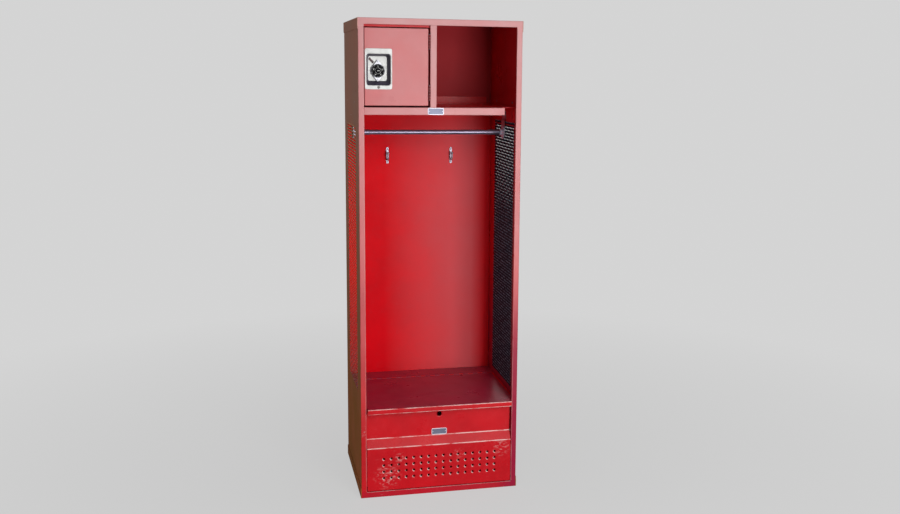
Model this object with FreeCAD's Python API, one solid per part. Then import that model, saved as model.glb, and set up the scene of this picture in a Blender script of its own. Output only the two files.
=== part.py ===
import FreeCAD, Part
import math
import os

# An open-front athletic locker of bent sheet steel. Millimetres, +Z up, front towards -Y.
# The origin is on the floor, in the middle of the whole locker's box.

V = FreeCAD.Vector
X_AXIS = V(1, 0, 0)
Y_AXIS = V(0, 1, 0)
Z_AXIS = V(0, 0, 1)

# Overall sizes
body_width = 610.0
depth = 500.0
height = 1810.0
upper_box_height = 319.0
seat_height = 356.0
seat_nose = 18.0

# Sheet and bends
sheet = 1.5
pan_sheet = 2.0
bend = 2.5
slack = 0.3
weld_lap = 1.0
light_sides = 8
corner_chords = 3

# Top cap and bottom pan
pan_flange = 23.0
pan_side = 40.0
pan_lip = 12.0
corner_tab = 30.0
anchor_hole = 5.0
anchor_inset_x = 80.0
anchor_inset_y = 90.0

# Side panels
upright_face = 21.0
upright_return = 16.0
return_gap = 2.0
rear_flange = 22.0
window_margin = 105.0
window_above_seat = 41.0
window_below_shelf = 75.0
link_hole = 4.0
link_hole_inset = 84.0
link_hole_low = 403.0
link_hole_pitch = 229.0
link_hole_headroom = 200.0

# Expanded metal
mesh_lap = 15.0
mesh_thick = 3.0
mesh_strand = 6.0
mesh_columns = 3
mesh_short_pitch = 70.0

# Upper shelf and divider
shelf_lip = 27.5
shelf_hem = 10.0
shelf_flange = 28.0
shelf_notch_wide = 44.0
shelf_notch_deep = 60.0
divider_left = -42.0
divider_face = 24.0
divider_return = 14.0
divider_foot = 18.0
divider_foot_inset = 40.0

# Bolts through the sides
bolt_shank = 2.9
bolt_fit = 0.1
bolt_head = 5.5
bolt_head_high = 2.2
bolt_sides = 6
bolt_inset_front = 130.0
bolt_inset_back = 120.0
shelf_bolt_rise = 15.0

# Lock-box door and its hinges
door_side_gap = 1.5
door_hinge_gap = 7.0
door_foot_gap = 6.0
door_head_gap = 12.0
door_edge = 18.0
header_drop = 8.0
header_leg = 20.0
hinge_length = 52.0
hinge_inset = 47.0
hinge_knuckles = 5
hinge_barrel = 4.0
hinge_pin = 2.0
hinge_leaf = 1.8
hinge_leaf_width = 17.0
hinge_stand_out = 2.5
knuckle_gap = 0.3
pin_fit = 0.05

# Recessed lock pocket
pocket_plate_width = 99.0
pocket_plate_height = 146.0
pocket_plate_drop = 73.5
pocket_plate_thick = 1.5
pocket_plate_corner = 7.0
pocket_side_margin = 6.0
pocket_head_margin = 19.5
pocket_foot_margin = 14.5
pocket_deep = 30.0
pocket_wall = 1.2
pocket_corner = 9.0
pocket_draft_side = 8.0
pocket_draft_head = 7.0
pocket_draft_foot = 15.5

# Combination lock
lock_drop = 4.0
escutcheon_share = 0.293
escutcheon_point = 1.59
escutcheon_tip = 3.0
escutcheon_thick = 3.0
escutcheon_rise = 9.8
boss_share = 0.78
dial_share = 0.9
dial_sides = 24
dial_bevel = 2.2
dial_thick = 5.0
knob_radius = 9.5
knob_high = 10.0
knob_flutes = 10
flute_deep = 1.4
spindle = 2.2
spindle_reach = 12.0
case_half_width = 36.0
case_below = 34.0
case_above = 62.0
case_thick = 24.0

# Turn lever, latch bolt and strike
lever_inset = 6.5
lever_width = 7.5
lever_length = 16.0
lever_thick = 3.0
lever_tab = 9.0
lever_tab_thick = 2.5
lever_angle = -45.0
lever_spindle_reach = 2.5
latch_from_case = 4.0
latch_thick = 8.0
latch_high = 16.0
latch_rest = 4.0
latch_length = 46.0
latch_throw = 13.0
strike_thick = 2.0
strike_half_high = 25.0
strike_reach = 56.0
strike_slot_room = 2.0

# Key cylinder in the pocket plate's lower border
key_plug_radius = 4.9
key_sleeve_wall = 1.4
key_sleeve_long = 12.0
key_proud = 0.5
key_slot_wide = 1.6
key_slot_long = 7.0
key_slot_deep = 3.0

# Coat rod
rod_radius = 9.5
rod_wall = 1.5
rod_inset = 260.0
rod_below_shelf = 105.0
socket_flange = 26.0
socket_flange_thick = 3.0
socket_hub = 13.0
socket_hub_long = 14.0
socket_bore_deep = 12.0
socket_sides = 16
bracket_sheet = 2.0
bracket_half_width = 28.0
bracket_head = 38.0
bracket_bolt_spread = 15.0
bracket_bolt_rise = 22.0

# Coat hooks
hook_spread = 133.0
hook_below_shelf = 214.0
hook_plate_width = 15.0
hook_plate_high = 68.0
hook_plate_thick = 2.5
hook_wire = 3.5
hook_reach = 24.0
hook_bend = 12.0
hook_rise = 16.0
hook_bead = 5.5
hook_root = 16.0
hook_sides = 6

# Foot-locker front
front_side_gap = 2.0
front_foot_gap = 2.5
front_recess = 20.0
front_low_high = 170.5
front_ledge_high = 32.0
front_flange = 22.0
front_hem = 16.0
lock_hole = 9.5
lock_hole_drop = 43.0
vent_columns = 16
vent_rows = 4
vent_pitch_x = 29.1
vent_pitch_z = 25.6
vent_hole = 3.5
vent_sides = 6
vent_low = 49.0
clip_leg = 20.0
clip_inset = 22.0

# Seat
hinge_line = 393.0
lid_wall_gap = 7.5
lid_upright_gap = 4.0
lid_lip = 20.0
lid_hem = 10.0
ledge_leg = 20.0
ledge_drop = 45.0
strip_flange = 24.0
stiffener_half = 240.0
stiffener_wide = 40.0
stiffener_deep = 18.0
stiffener_foot = 15.0
stiffener_inset = 200.0
seat_barrel = 3.5
seat_pin = 1.5
seat_leaf = 1.2
seat_leaf_width = 24.0
seat_knuckles = 9
seat_hinge_end_gap = 4.0

# Plates
plate_width = 60.0
plate_high = 25.0
plate_thick = 1.5
plate_corner = 5.0
shelf_plate_x = -21.0
bench_plate_rise = 2.0

# Planes that the pieces share
front_y = (seat_nose - depth) / 2
back_y = front_y + depth
panel_back = back_y - pan_sheet
back_face = panel_back - 2 * sheet
outer_half = body_width / 2
inner_half = outer_half - sheet
open_half = outer_half - upright_face
behind_return = front_y + upright_return + return_gap
shelf_z = height - upper_box_height
window_low = seat_height + window_above_seat
window_high = shelf_z - window_below_shelf
seat_under = seat_height - sheet
hinge_y = front_y + hinge_line
lid_half = inner_half - lid_wall_gap
nose_half = open_half - lid_upright_gap
front_half = open_half - front_side_gap
bolt_rows_y = (front_y + bolt_inset_front, back_y - bolt_inset_back)

# Door and lock places
door_left = -open_half + door_side_gap
door_right = divider_left - door_hinge_gap
door_low = shelf_z + door_foot_gap
door_high = height - pan_flange - door_head_gap
pin_x = (door_right + divider_left) / 2
pin_y = front_y - hinge_stand_out
plate_left = door_left + door_side_gap
plate_high_z = door_high - pocket_plate_drop
plate_low_z = plate_high_z - pocket_plate_height
mouth_left = plate_left + pocket_side_margin
mouth_right = plate_left + pocket_plate_width - pocket_side_margin
mouth_high = plate_high_z - pocket_head_margin
mouth_low = plate_low_z + pocket_foot_margin
floor_left = mouth_left + pocket_draft_side
floor_right = mouth_right - pocket_draft_side
floor_high = mouth_high - pocket_draft_head
floor_low = mouth_low + pocket_draft_foot
pocket_floor = front_y + pocket_deep - pocket_wall
pocket_back = front_y + pocket_deep
lock_x = (mouth_left + mouth_right) / 2
escutcheon_half_width = escutcheon_share * (mouth_right - mouth_left)
escutcheon_half_height = escutcheon_point * escutcheon_half_width
boss_radius = boss_share * escutcheon_half_width
dial_radius = dial_share * escutcheon_half_width
lock_z = (mouth_low + mouth_high) / 2 - lock_drop
escutcheon_face = pocket_floor - escutcheon_rise
case_back = pocket_back + case_thick
lever_x = floor_left + lever_inset
lever_z = floor_high - lever_inset - lever_width / 2
latch_front = pocket_back + latch_from_case
latch_tip = door_left + latch_rest
key_x = lock_x
key_z = (plate_low_z + mouth_low) / 2

# Rod places
rod_y = front_y + rod_inset
rod_z = shelf_z - rod_below_shelf
bracket_face = inner_half - mesh_thick - slack - bracket_sheet
bracket_joggle_z = window_high + mesh_lap + slack
rod_end = bracket_face - (socket_hub_long - socket_bore_deep)


def block(x0, x1, y0, y1, z0, z1):
    """Box between two corners."""
    return Part.makeBox(x1 - x0, y1 - y0, z1 - z0, V(x0, y0, z0))


def drill(centre, axis, radius, length):
    """Round bar whose middle lies at the centre."""
    return Part.makeCylinder(radius, length, centre - axis * (length / 2), axis)


def light_bar(base, axis, radius, length, sides=light_sides):
    """Flat-sided bar with its corners on the radius, for what is small and repeats."""
    return flat(light_points(base, axis, radius, sides)).extrude(axis * length)


def light_hole(centre, axis, radius, length, sides=light_sides):
    """Flat-sided cutter with its flats on the radius, its middle at the centre."""
    return light_bar(centre - axis * (length / 2), axis, radius / math.cos(math.pi / sides), length, sides)


def rounded_edges(points, radii):
    """Lines along the points, with an arc of its own radius at each inner corner, or none for zero."""
    edges = []
    start = points[0]
    for before, corner, after, radius in zip(points, points[1:], points[2:], radii):
        back = (before - corner).normalize()
        ahead = (after - corner).normalize()
        half = back.getAngle(ahead) / 2
        inward = (back + ahead).normalize()
        enter = corner + back * (radius / math.tan(half))
        leave = corner + ahead * (radius / math.tan(half))
        middle = corner + inward * (radius / math.sin(half) - radius)
        edges.append(Part.LineSegment(start, enter).toShape())
        if radius:
            edges.append(Part.Arc(enter, middle, leave).toShape())
        start = leave
    edges.append(Part.LineSegment(start, points[-1]).toShape())
    return edges


def soft_points(a0, a1, b0, b1, low_radius, high_radius):
    """Corners of a rectangle as pairs, rounded by a few chords; low and high ones have their own radius."""
    corners = [
        (a1 - low_radius, b0 + low_radius, low_radius, -90),
        (a1 - high_radius, b1 - high_radius, high_radius, 0),
        (a0 + high_radius, b1 - high_radius, high_radius, 90),
        (a0 + low_radius, b0 + low_radius, low_radius, 180),
    ]
    pairs = []
    for a, b, radius, start in corners:
        for step in range(corner_chords + 1):
            turn = math.radians(start + 90 * step / corner_chords)
            pairs.append((a + radius * math.cos(turn), b + radius * math.sin(turn)))
    return pairs


def soft_box(x0, x1, z0, z1, y, radius):
    """Points of an upright rectangle with rounded corners, at the depth y."""
    return [V(x, y, z) for x, z in soft_points(x0, x1, z0, z1, radius, radius)]


def flat(points):
    """Face inside the points."""
    return Part.Face(Part.makePolygon(points + points[:1]))


def frustum(first, second):
    """Solid between two outlines whose sides are parallel."""
    faces = [flat(first), flat(second)]
    for index in range(len(first)):
        faces.append(flat([first[index - 1], first[index], second[index], second[index - 1]]))
    solid = Part.Solid(Part.Shell(faces))
    solid.fix(slack, slack, slack)
    return solid


def light_points(base, axis, radius, sides):
    """Corners of a regular outline about the axis, on the radius."""
    across = X_AXIS if abs(axis.x) < 0.5 else Z_AXIS
    beside = axis.cross(across)
    corners = []
    for step in range(sides):
        turn = 2 * math.pi * (step + 0.5) / sides
        corners.append(base + across * (radius * math.cos(turn)) + beside * (radius * math.sin(turn)))
    return corners


def folded(points, thickness, run):
    """Bent sheet, tight inside its bends.

    The points are its skin and the sheet lies left of them, seen against the run.
    """
    normal = V(run).normalize()
    ways = [(b - a).normalize() for a, b in zip(points, points[1:])]
    lefts = [normal.cross(way) for way in ways]
    inside = [points[0] + lefts[0] * thickness]
    skin_radii = []
    inside_radii = []
    for corner, first, second, left, next_left in zip(points[1:], ways, ways[1:], lefts, lefts[1:]):
        inside.append(corner + (left + next_left) * (thickness / (1 + left.dot(next_left))))
        turns_left = first.cross(second).dot(normal) > 0
        skin_radii.append(bend if turns_left else 0)
        inside_radii.append(0 if turns_left else bend)
    inside.append(points[-1] + lefts[-1] * thickness)
    edges = rounded_edges(points, skin_radii)
    edges.append(Part.LineSegment(points[-1], inside[-1]).toShape())
    edges += rounded_edges(inside[::-1], inside_radii[::-1])
    edges.append(Part.LineSegment(inside[0], points[0]).toShape())
    return Part.Face(Part.Wire(edges)).extrude(run)


def soften(shape, radius, chosen):
    """Round the edges that the test chooses."""
    return shape.makeFillet(radius, [edge for edge in shape.Edges if chosen(edge)])


def joined(shapes):
    """One solid from pieces that share faces."""
    return shapes[0].multiFuse(shapes[1:]).removeSplitter()


def other_side(shape):
    """The same piece for the other side of the locker."""
    return shape.mirror(V(0, 0, 0), X_AXIS)


def top_cap():
    """Cap pressed as a pan: side and rear flanges, a shorter front flange with a lip, corner tabs."""
    half = outer_half + pan_sheet
    low = height - pan_side
    shell = block(-half, half, front_y, back_y, low, height)
    shell = soften(shell, bend, lambda edge: edge.BoundBox.ZMin > height - slack)
    hollow_top = height - pan_sheet
    shell = shell.cut(block(-outer_half, outer_half, front_y + pan_sheet, panel_back, low, hollow_top))
    shell = shell.cut(block(-half, half, front_y, front_y + pan_sheet, low, height - corner_tab))
    opening = block(-open_half, open_half, front_y, front_y + pan_sheet, low, height - pan_flange)
    lip_low = height - pan_flange
    lip = block(-open_half, open_half, front_y, front_y + pan_lip, lip_low, lip_low + pan_sheet)
    cap = joined([shell.cut(opening), lip])
    return soften(cap, pan_sheet - slack, lambda edge: is_front_edge(edge, lip_low))


def is_front_edge(edge, level):
    """Whether an edge is the long one along the front at the level."""
    box = edge.BoundBox
    flat = box.ZLength < slack and box.YLength < slack and abs(box.ZMin - level) < slack
    return flat and box.XLength > open_half and abs(box.YMin - front_y) < slack


def bottom_pan(cap):
    """The cap's pressing turned over, with four anchor holes in its floor."""
    pan = cap.mirror(V(0, 0, height / 2), Z_AXIS)
    for x in (anchor_inset_x - outer_half, outer_half - anchor_inset_x):
        for y in (front_y + anchor_inset_y, back_y - anchor_inset_y):
            pan = pan.cut(drill(V(x, y, 0), Z_AXIS, anchor_hole, pan_side))
    return pan


def side_bolt_places():
    """Middle of each bolt on the right side, as pairs of depth and height."""
    shelf = [(y, shelf_z + shelf_bolt_rise) for y in bolt_rows_y]
    bracket_z = bracket_joggle_z + bracket_bolt_rise
    bracket = [(rod_y + step, bracket_z) for step in (-bracket_bolt_spread, bracket_bolt_spread)]
    return {"shelf_bolts": shelf, "bracket_bolts": bracket}


def drill_side(shape, places):
    """Bolt holes through whatever lies along X at the places, on the right side."""
    radius = bolt_shank + bolt_fit
    for y, z in places:
        shape = shape.cut(light_hole(V(outer_half, y, z), X_AXIS, radius, pan_side, bolt_sides))
    return shape


def side_panel():
    """Right side: upright face with its return lip, web with the mesh window, and rear flange."""
    line = [
        V(open_half, front_y + upright_return, pan_sheet),
        V(open_half, front_y, pan_sheet),
        V(outer_half, front_y, pan_sheet),
        V(outer_half, panel_back, pan_sheet),
        V(outer_half - rear_flange, panel_back, pan_sheet),
    ]
    panel = folded(line, sheet, V(0, 0, height - 2 * pan_sheet))
    reach = front_y + pan_sheet
    panel = panel.cut(block(0, body_width, front_y - 1, reach, height - corner_tab, height))
    panel = panel.cut(block(0, body_width, front_y - 1, reach, 0, corner_tab))
    window_front = front_y + window_margin
    window_back = panel_back - window_margin
    panel = panel.cut(block(0, body_width, window_front, window_back, window_low, window_high))
    count = 1 + int((height - link_hole_headroom - link_hole_low) // link_hole_pitch)
    for step in range(count):
        place = V(outer_half, front_y + link_hole_inset, link_hole_low + step * link_hole_pitch)
        panel = panel.cut(light_hole(place, X_AXIS, link_hole, upright_face))
    for places in side_bolt_places().values():
        panel = drill_side(panel, places)
    return panel


def diamond(y, z, half_long, half_short):
    """Mesh opening, longer along the depth, halved where it crosses the window's ends."""
    front_half = [V(0, y, z + half_short), V(0, y - half_long, z), V(0, y, z - half_short)]
    back_half = [V(0, y, z - half_short), V(0, y + half_long, z), V(0, y, z + half_short)]
    if y - half_long < front_y + window_margin:
        points = back_half
    elif y + half_long > panel_back - window_margin:
        points = front_half
    else:
        points = front_half + back_half[1:2]
    return Part.makePolygon(points + points[:1])


def side_mesh():
    """Right expanded-metal sheet behind the window: rows of diamonds, every other row shifted by half."""
    y_low = front_y + window_margin
    y_high = panel_back - window_margin
    long_pitch = (y_high - y_low) / mesh_columns
    rows = int((window_high - window_low) // mesh_short_pitch)
    short_pitch = (window_high - window_low) / rows
    half_long = (long_pitch - mesh_strand * long_pitch / short_pitch) / 2
    half_short = (short_pitch - mesh_strand) / 2
    border = [
        V(0, y_low - mesh_lap, window_low - mesh_lap),
        V(0, y_high + mesh_lap, window_low - mesh_lap),
        V(0, y_high + mesh_lap, window_high + mesh_lap),
        V(0, y_low - mesh_lap, window_high + mesh_lap),
    ]
    wires = [Part.makePolygon(border + border[:1])]
    for row in range(2 * rows - 1):
        z = window_low + (row + 1) * short_pitch / 2
        shifted = row % 2
        for column in range(mesh_columns + shifted):
            y = y_low + (column + (1 - shifted) / 2) * long_pitch
            wires.append(diamond(y, z, half_long, half_short))
    sheet_face = Part.Face(wires, "Part::FaceMakerBullseye")
    sheet_face.translate(V(inner_half - mesh_thick, 0, 0))
    return sheet_face.extrude(V(mesh_thick, 0, 0))


def back_panel():
    """Flat back, inside the rear flanges of the sides."""
    half = inner_half - slack
    return block(-half, half, back_face, back_face + sheet, pan_sheet, height - pan_sheet)


def upper_shelf():
    """Shelf with a deep front lip, wings and turned-up flanges, notched at its right front corner."""
    half = open_half - slack
    line = [
        V(half, front_y + shelf_hem, shelf_z - shelf_lip),
        V(half, front_y, shelf_z - shelf_lip),
        V(half, front_y, shelf_z),
        V(half, back_face - sheet, shelf_z),
        V(half, back_face - sheet, shelf_z + shelf_flange),
    ]
    middle = folded(line, sheet, V(-2 * half, 0, 0))
    wing_line = [
        V(half - weld_lap, behind_return, shelf_z),
        V(inner_half - sheet, behind_return, shelf_z),
        V(inner_half - sheet, behind_return, shelf_z + shelf_flange),
    ]
    wing = folded(wing_line, sheet, V(0, back_face - sheet - behind_return, 0))
    wing = drill_side(wing, side_bolt_places()["shelf_bolts"])
    notch_left = open_half - shelf_notch_wide
    notch_back = front_y + shelf_notch_deep
    low = shelf_z - shelf_lip - slack
    high = shelf_z + shelf_flange + slack
    notch = block(notch_left, inner_half, front_y - slack, notch_back, low, high)
    return joined([middle, wing, other_side(wing)]).cut(notch)


def divider():
    """Wall between lock box and cubby, with a face and return like the uprights, and feet for its welds."""
    line = [
        V(divider_left, back_face - sheet, shelf_z),
        V(divider_left, front_y, shelf_z),
        V(divider_left + divider_face, front_y, shelf_z),
        V(divider_left + divider_face, front_y + divider_return, shelf_z),
    ]
    wall = folded(line, sheet, V(0, 0, height - pan_sheet - shelf_z))
    foot_front = front_y + divider_foot_inset
    foot_back = back_face - divider_foot_inset
    foot_right = divider_left + divider_foot
    head = height - pan_sheet
    feet = [
        block(divider_left, foot_right, foot_front, foot_back, shelf_z, shelf_z + sheet),
        block(divider_left, foot_right, foot_front, foot_back, head - sheet, head),
    ]
    lip_room = block(
        divider_left - 1,
        divider_left + divider_face + 1,
        front_y - 1,
        front_y + pan_lip + slack,
        height - pan_flange,
        height,
    )
    return joined([wall.cut(lip_room)] + feet)


def door_header():
    """Angle hung under the cap that the top of the lock-box door shuts below."""
    left = -open_half + slack
    face = front_y + pan_lip + slack
    line = [
        V(divider_left - slack, face, height - pan_flange - header_drop),
        V(divider_left - slack, face, height - pan_sheet),
        V(divider_left - slack, face + header_leg, height - pan_sheet),
    ]
    return folded(line, sheet, V(left - divider_left + slack, 0, 0))


def door_panel():
    """Door pan with turned edges, cut out for the lock pocket and the key cylinder."""
    pan = block(door_left, door_right, front_y, front_y + door_edge, door_low, door_high)
    pan = soften(pan, bend, lambda edge: edge.BoundBox.YMax < front_y + slack)
    hollow = block(
        door_left + sheet,
        door_right - sheet,
        front_y + sheet,
        front_y + door_edge,
        door_low + sheet,
        door_high - sheet,
    )
    wall = pocket_wall + slack
    mouth = soft_box(
        mouth_left - wall, mouth_right + wall, mouth_low - wall, mouth_high + wall, front_y, pocket_corner
    )
    pan = pan.cut(hollow).cut(flat(mouth).extrude(V(0, door_edge, 0)))
    sleeve_radius = key_plug_radius + key_sleeve_wall
    return pan.cut(light_hole(V(key_x, front_y, key_z), Y_AXIS, sleeve_radius + slack, door_edge))


def hinge_leaf_piece(length, count, first, barrel, pin, leaf, offset, width):
    """Hinge leaf with every other knuckle, its pin along Z, the leaf leaving along +Y at the offset in X."""
    pitch = length / count
    start = barrel + knuckle_gap
    shapes = [block(offset, offset + leaf, start, width, 0, length)]
    for index in range(first, count, 2):
        low = index * pitch + knuckle_gap / 2
        high = (index + 1) * pitch - knuckle_gap / 2
        shapes.append(light_bar(V(0, 0, low), Z_AXIS, barrel, high - low))
        shapes.append(block(offset, offset + leaf, 0, start, low, high))
    return joined(shapes).cut(light_hole(V(0, 0, length / 2), Z_AXIS, pin + pin_fit, length))


def door_hinge_bases():
    """Lower end of each door hinge's pin."""
    middles = (door_low + hinge_inset, door_high - hinge_inset)
    return [V(pin_x, pin_y, middle - hinge_length / 2) for middle in middles]


def door_hinge_leaves(first, offset):
    """The two door hinges' leaves on one side."""
    leaves = []
    width = hinge_leaf_width + hinge_stand_out
    for base in door_hinge_bases():
        leaf = hinge_leaf_piece(
            hinge_length, hinge_knuckles, first, hinge_barrel, hinge_pin, hinge_leaf, offset, width
        )
        leaf.translate(base)
        leaves.append(leaf)
    return Part.makeCompound(leaves)


def door_hinge_pins():
    """The two door hinges' pins."""
    pins = [Part.makeCylinder(hinge_pin, hinge_length, base, Z_AXIS) for base in door_hinge_bases()]
    return Part.makeCompound(pins)


def lock_pocket():
    """Stainless pocket: a plate on the door's face and a tapered, deeper-footed recess through it."""
    face = front_y - pocket_plate_thick
    plate_right = plate_left + pocket_plate_width
    plate_points = soft_box(plate_left, plate_right, plate_low_z, plate_high_z, face, pocket_plate_corner)
    plate = flat(plate_points).extrude(V(0, pocket_plate_thick, 0))
    outside = pocket_recess(pocket_wall, front_y, pocket_back)
    inside = pocket_recess(0, face, pocket_floor)
    pocket = joined([plate, outside]).cut(inside)
    for x, z in ((lock_x, lock_z), (lever_x, lever_z)):
        pocket = pocket.cut(light_hole(V(x, pocket_back, z), Y_AXIS, spindle + slack, 2 * pocket_wall + 1))
    key_place = V(key_x, front_y, key_z)
    return pocket.cut(light_hole(key_place, Y_AXIS, key_plug_radius + pin_fit, 2 * pocket_plate_thick + 1))


def pocket_recess(grow, mouth_y, floor_y):
    """Tapered recess from the mouth to the floor, grown by a wall's thickness."""
    mouth = soft_box(
        mouth_left - grow, mouth_right + grow, mouth_low - grow, mouth_high + grow, mouth_y, pocket_corner
    )
    floor = soft_box(
        floor_left - grow, floor_right + grow, floor_low - grow, floor_high + grow, floor_y, pocket_corner
    )
    return frustum(mouth, floor)


def lock_escutcheon():
    """Cast surround of the dial: a disc drawn out to a point above and below, on a round boss."""
    centre = V(lock_x, escutcheon_face, lock_z)
    lean = math.asin(escutcheon_half_width / escutcheon_half_height)
    side = escutcheon_half_width * math.cos(lean)
    rise = escutcheon_half_width * math.sin(lean)
    shapes = [
        light_bar(centre, Y_AXIS, escutcheon_half_width, escutcheon_thick, dial_sides),
        light_bar(centre, Y_AXIS, boss_radius, escutcheon_rise, dial_sides),
    ]
    for way in (1, -1):
        left = centre + V(-side, 0, way * rise)
        tip = centre + V(0, 0, way * escutcheon_half_height)
        right = centre + V(side, 0, way * rise)
        edges = rounded_edges([left, tip, right], [escutcheon_tip])
        edges.append(Part.LineSegment(right, left).toShape())
        shapes.append(Part.Face(Part.Wire(edges)).extrude(V(0, escutcheon_thick, 0)))
    return joined(shapes).cut(light_hole(centre, Y_AXIS, spindle + slack, 4 * escutcheon_rise))


def lock_dial():
    """Dial disc with a bevelled rim, a fluted knob and the spindle behind."""
    back = escutcheon_face - slack
    front = back - dial_thick
    shoulder = V(0, front + dial_bevel, 0)
    rim = light_bar(shoulder, Y_AXIS, dial_radius, dial_thick - dial_bevel, dial_sides)
    bevel = frustum(
        light_points(V(0, front, 0), Y_AXIS, dial_radius - dial_bevel, dial_sides),
        light_points(shoulder, Y_AXIS, dial_radius, dial_sides),
    )
    corners = []
    for step in range(2 * knob_flutes):
        turn = math.pi * step / knob_flutes
        reach = knob_radius - flute_deep * (step % 2)
        corners.append(V(reach * math.cos(turn), front - knob_high, reach * math.sin(turn)))
    knob = flat(corners).extrude(V(0, knob_high, 0))
    axle = Part.makeCylinder(spindle, pocket_back + spindle_reach - back, V(0, back, 0), Y_AXIS)
    dial = joined([rim, bevel, knob, axle])
    dial.translate(V(lock_x, 0, lock_z))
    return dial


def lock_case():
    """Case behind the pocket, with the latch bolt's guide and the spindles' bearings."""
    left = lock_x - case_half_width
    case = block(
        left, lock_x + case_half_width, pocket_back, case_back, lock_z - case_below, lock_z + case_above
    )
    guide = block(
        left,
        latch_tip + latch_length + slack,
        latch_front - slack,
        latch_front + latch_thick + slack,
        lever_z - latch_high / 2 - slack,
        lever_z + latch_high / 2 + slack,
    )
    dial_bearing = light_hole(
        V(lock_x, pocket_back, lock_z), Y_AXIS, spindle + pin_fit, 2 * (spindle_reach + slack)
    )
    lever_bearing = light_hole(
        V(lever_x, pocket_back, lever_z), Y_AXIS, spindle + pin_fit, 2 * (lever_spindle_reach + slack)
    )
    return case.cut(guide).cut(dial_bearing).cut(lever_bearing)


def turn_lever():
    """Short lever on the pocket's floor with a finger tab at its free end and a spindle into the case."""
    back = pocket_floor - slack
    front = back - lever_thick
    half = lever_width / 2
    bar = flat(soft_box(-half, lever_length + half, -half, half, front, half - slack))
    tab_end = lever_length + lever_tab_thick
    tab = block(lever_length, tab_end, front - lever_tab, front, slack - half, half - slack)
    axle = Part.makeCylinder(spindle, pocket_back + lever_spindle_reach - back, V(0, back, 0), Y_AXIS)
    lever = joined([bar.extrude(V(0, lever_thick, 0)), tab, axle])
    lever.rotate(V(0, 0, 0), Y_AXIS, -lever_angle)
    lever.translate(V(lever_x, 0, lever_z))
    return lever


def latch_bolt():
    """Flat bolt in the case's guide, its nose bevelled on the door's closing side."""
    low = lever_z - latch_high / 2
    bolt = block(
        latch_tip, latch_tip + latch_length, latch_front, latch_front + latch_thick, low, low + latch_high
    )
    nose = [edge for edge in bolt.Edges if is_nose_edge(edge)]
    return bolt.makeChamfer(latch_thick / 2, nose)


def is_nose_edge(edge):
    """Whether an edge is the upright one at the bolt's tip, on the inner side."""
    box = edge.BoundBox
    upright = box.ZLength > latch_high - slack
    at_tip = box.XMax < latch_tip + slack
    inner = box.YMin > latch_front + slack
    return upright and at_tip and inner


def latch_strike():
    """Plate inside the left upright, with the slot that the latch bolt enters."""
    outer = -open_half - sheet
    plate = block(
        outer - strike_thick,
        outer,
        front_y + bend + slack,
        front_y + strike_reach,
        lever_z - strike_half_high,
        lever_z + strike_half_high,
    )
    room = strike_slot_room
    slot = block(
        outer - strike_thick,
        outer,
        latch_front - room,
        latch_front + latch_thick + room,
        lever_z - latch_high / 2 - room,
        lever_z + latch_high / 2 + room,
    )
    return plate.cut(slot)


def key_cylinder():
    """Sleeve behind the pocket plate that the key plug turns in."""
    base = V(key_x, front_y, key_z)
    sleeve = light_bar(base, Y_AXIS, key_plug_radius + key_sleeve_wall, key_sleeve_long)
    return sleeve.cut(light_hole(base, Y_AXIS, key_plug_radius + pin_fit, 4 * key_sleeve_long))


def key_plug():
    """Plug with a keyway."""
    face = front_y - pocket_plate_thick - key_proud
    length = front_y + key_sleeve_long - face
    plug = Part.makeCylinder(key_plug_radius, length, V(key_x, face, key_z), Y_AXIS)
    half_wide = key_slot_wide / 2
    half_long = key_slot_long / 2
    left = key_x - half_wide
    right = key_x + half_wide
    slot = block(left, right, face, face + key_slot_deep, key_z - half_long, key_z + half_long)
    return plug.cut(slot)


def coat_rod():
    """Tube held at both ends in the sockets."""
    length = 2 * rod_end
    tube = drill(V(0, rod_y, rod_z), X_AXIS, rod_radius, length)
    return tube.cut(drill(V(0, rod_y, rod_z), X_AXIS, rod_radius - rod_wall, length))


def rod_socket():
    """Right cup of the rod: a flange with a hub and a blind bore."""
    end = V(bracket_face, rod_y, rod_z)
    flange = light_bar(end, X_AXIS * -1, socket_flange, socket_flange_thick, socket_sides)
    hub = light_bar(end, X_AXIS * -1, socket_hub, socket_hub_long, socket_sides)
    bore = light_hole(
        end - X_AXIS * socket_hub_long, X_AXIS, rod_radius + pin_fit, 2 * socket_bore_deep, socket_sides
    )
    return joined([flange, hub]).cut(bore)


def rod_bracket():
    """Right strap that hangs the socket from the panel above the window, joggled over the mesh."""
    inset = mesh_thick + slack
    high = bracket_joggle_z + bracket_head
    low = rod_z - bracket_half_width
    left = rod_y - bracket_half_width
    line = [
        V(inner_half, left, high),
        V(inner_half, left, bracket_joggle_z + 2 * inset),
        V(inner_half - inset, left, bracket_joggle_z),
        V(inner_half - inset, left, low),
    ]
    strap = folded(line, bracket_sheet, V(0, 2 * bracket_half_width, 0))
    pairs = soft_points(left, left + 2 * bracket_half_width, low, high, bracket_half_width - slack, bend)
    strap = strap.common(flat([V(0, y, z) for y, z in pairs]).extrude(V(body_width, 0, 0)))
    return drill_side(strap, side_bolt_places()["bracket_bolts"])


def side_bolts(places, grip_start):
    """Six-sided bolts of both sides: heads inside, ends flush with the outer sheet."""
    bolts = []
    for y, z in places:
        start = V(grip_start, y, z)
        head = light_bar(start - X_AXIS * bolt_head_high, X_AXIS, bolt_head, bolt_head_high, bolt_sides)
        shank = light_bar(start, X_AXIS, bolt_shank, outer_half - grip_start, bolt_sides)
        bolt = joined([head, shank])
        bolts += [bolt, other_side(bolt)]
    return Part.makeCompound(bolts)


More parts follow.
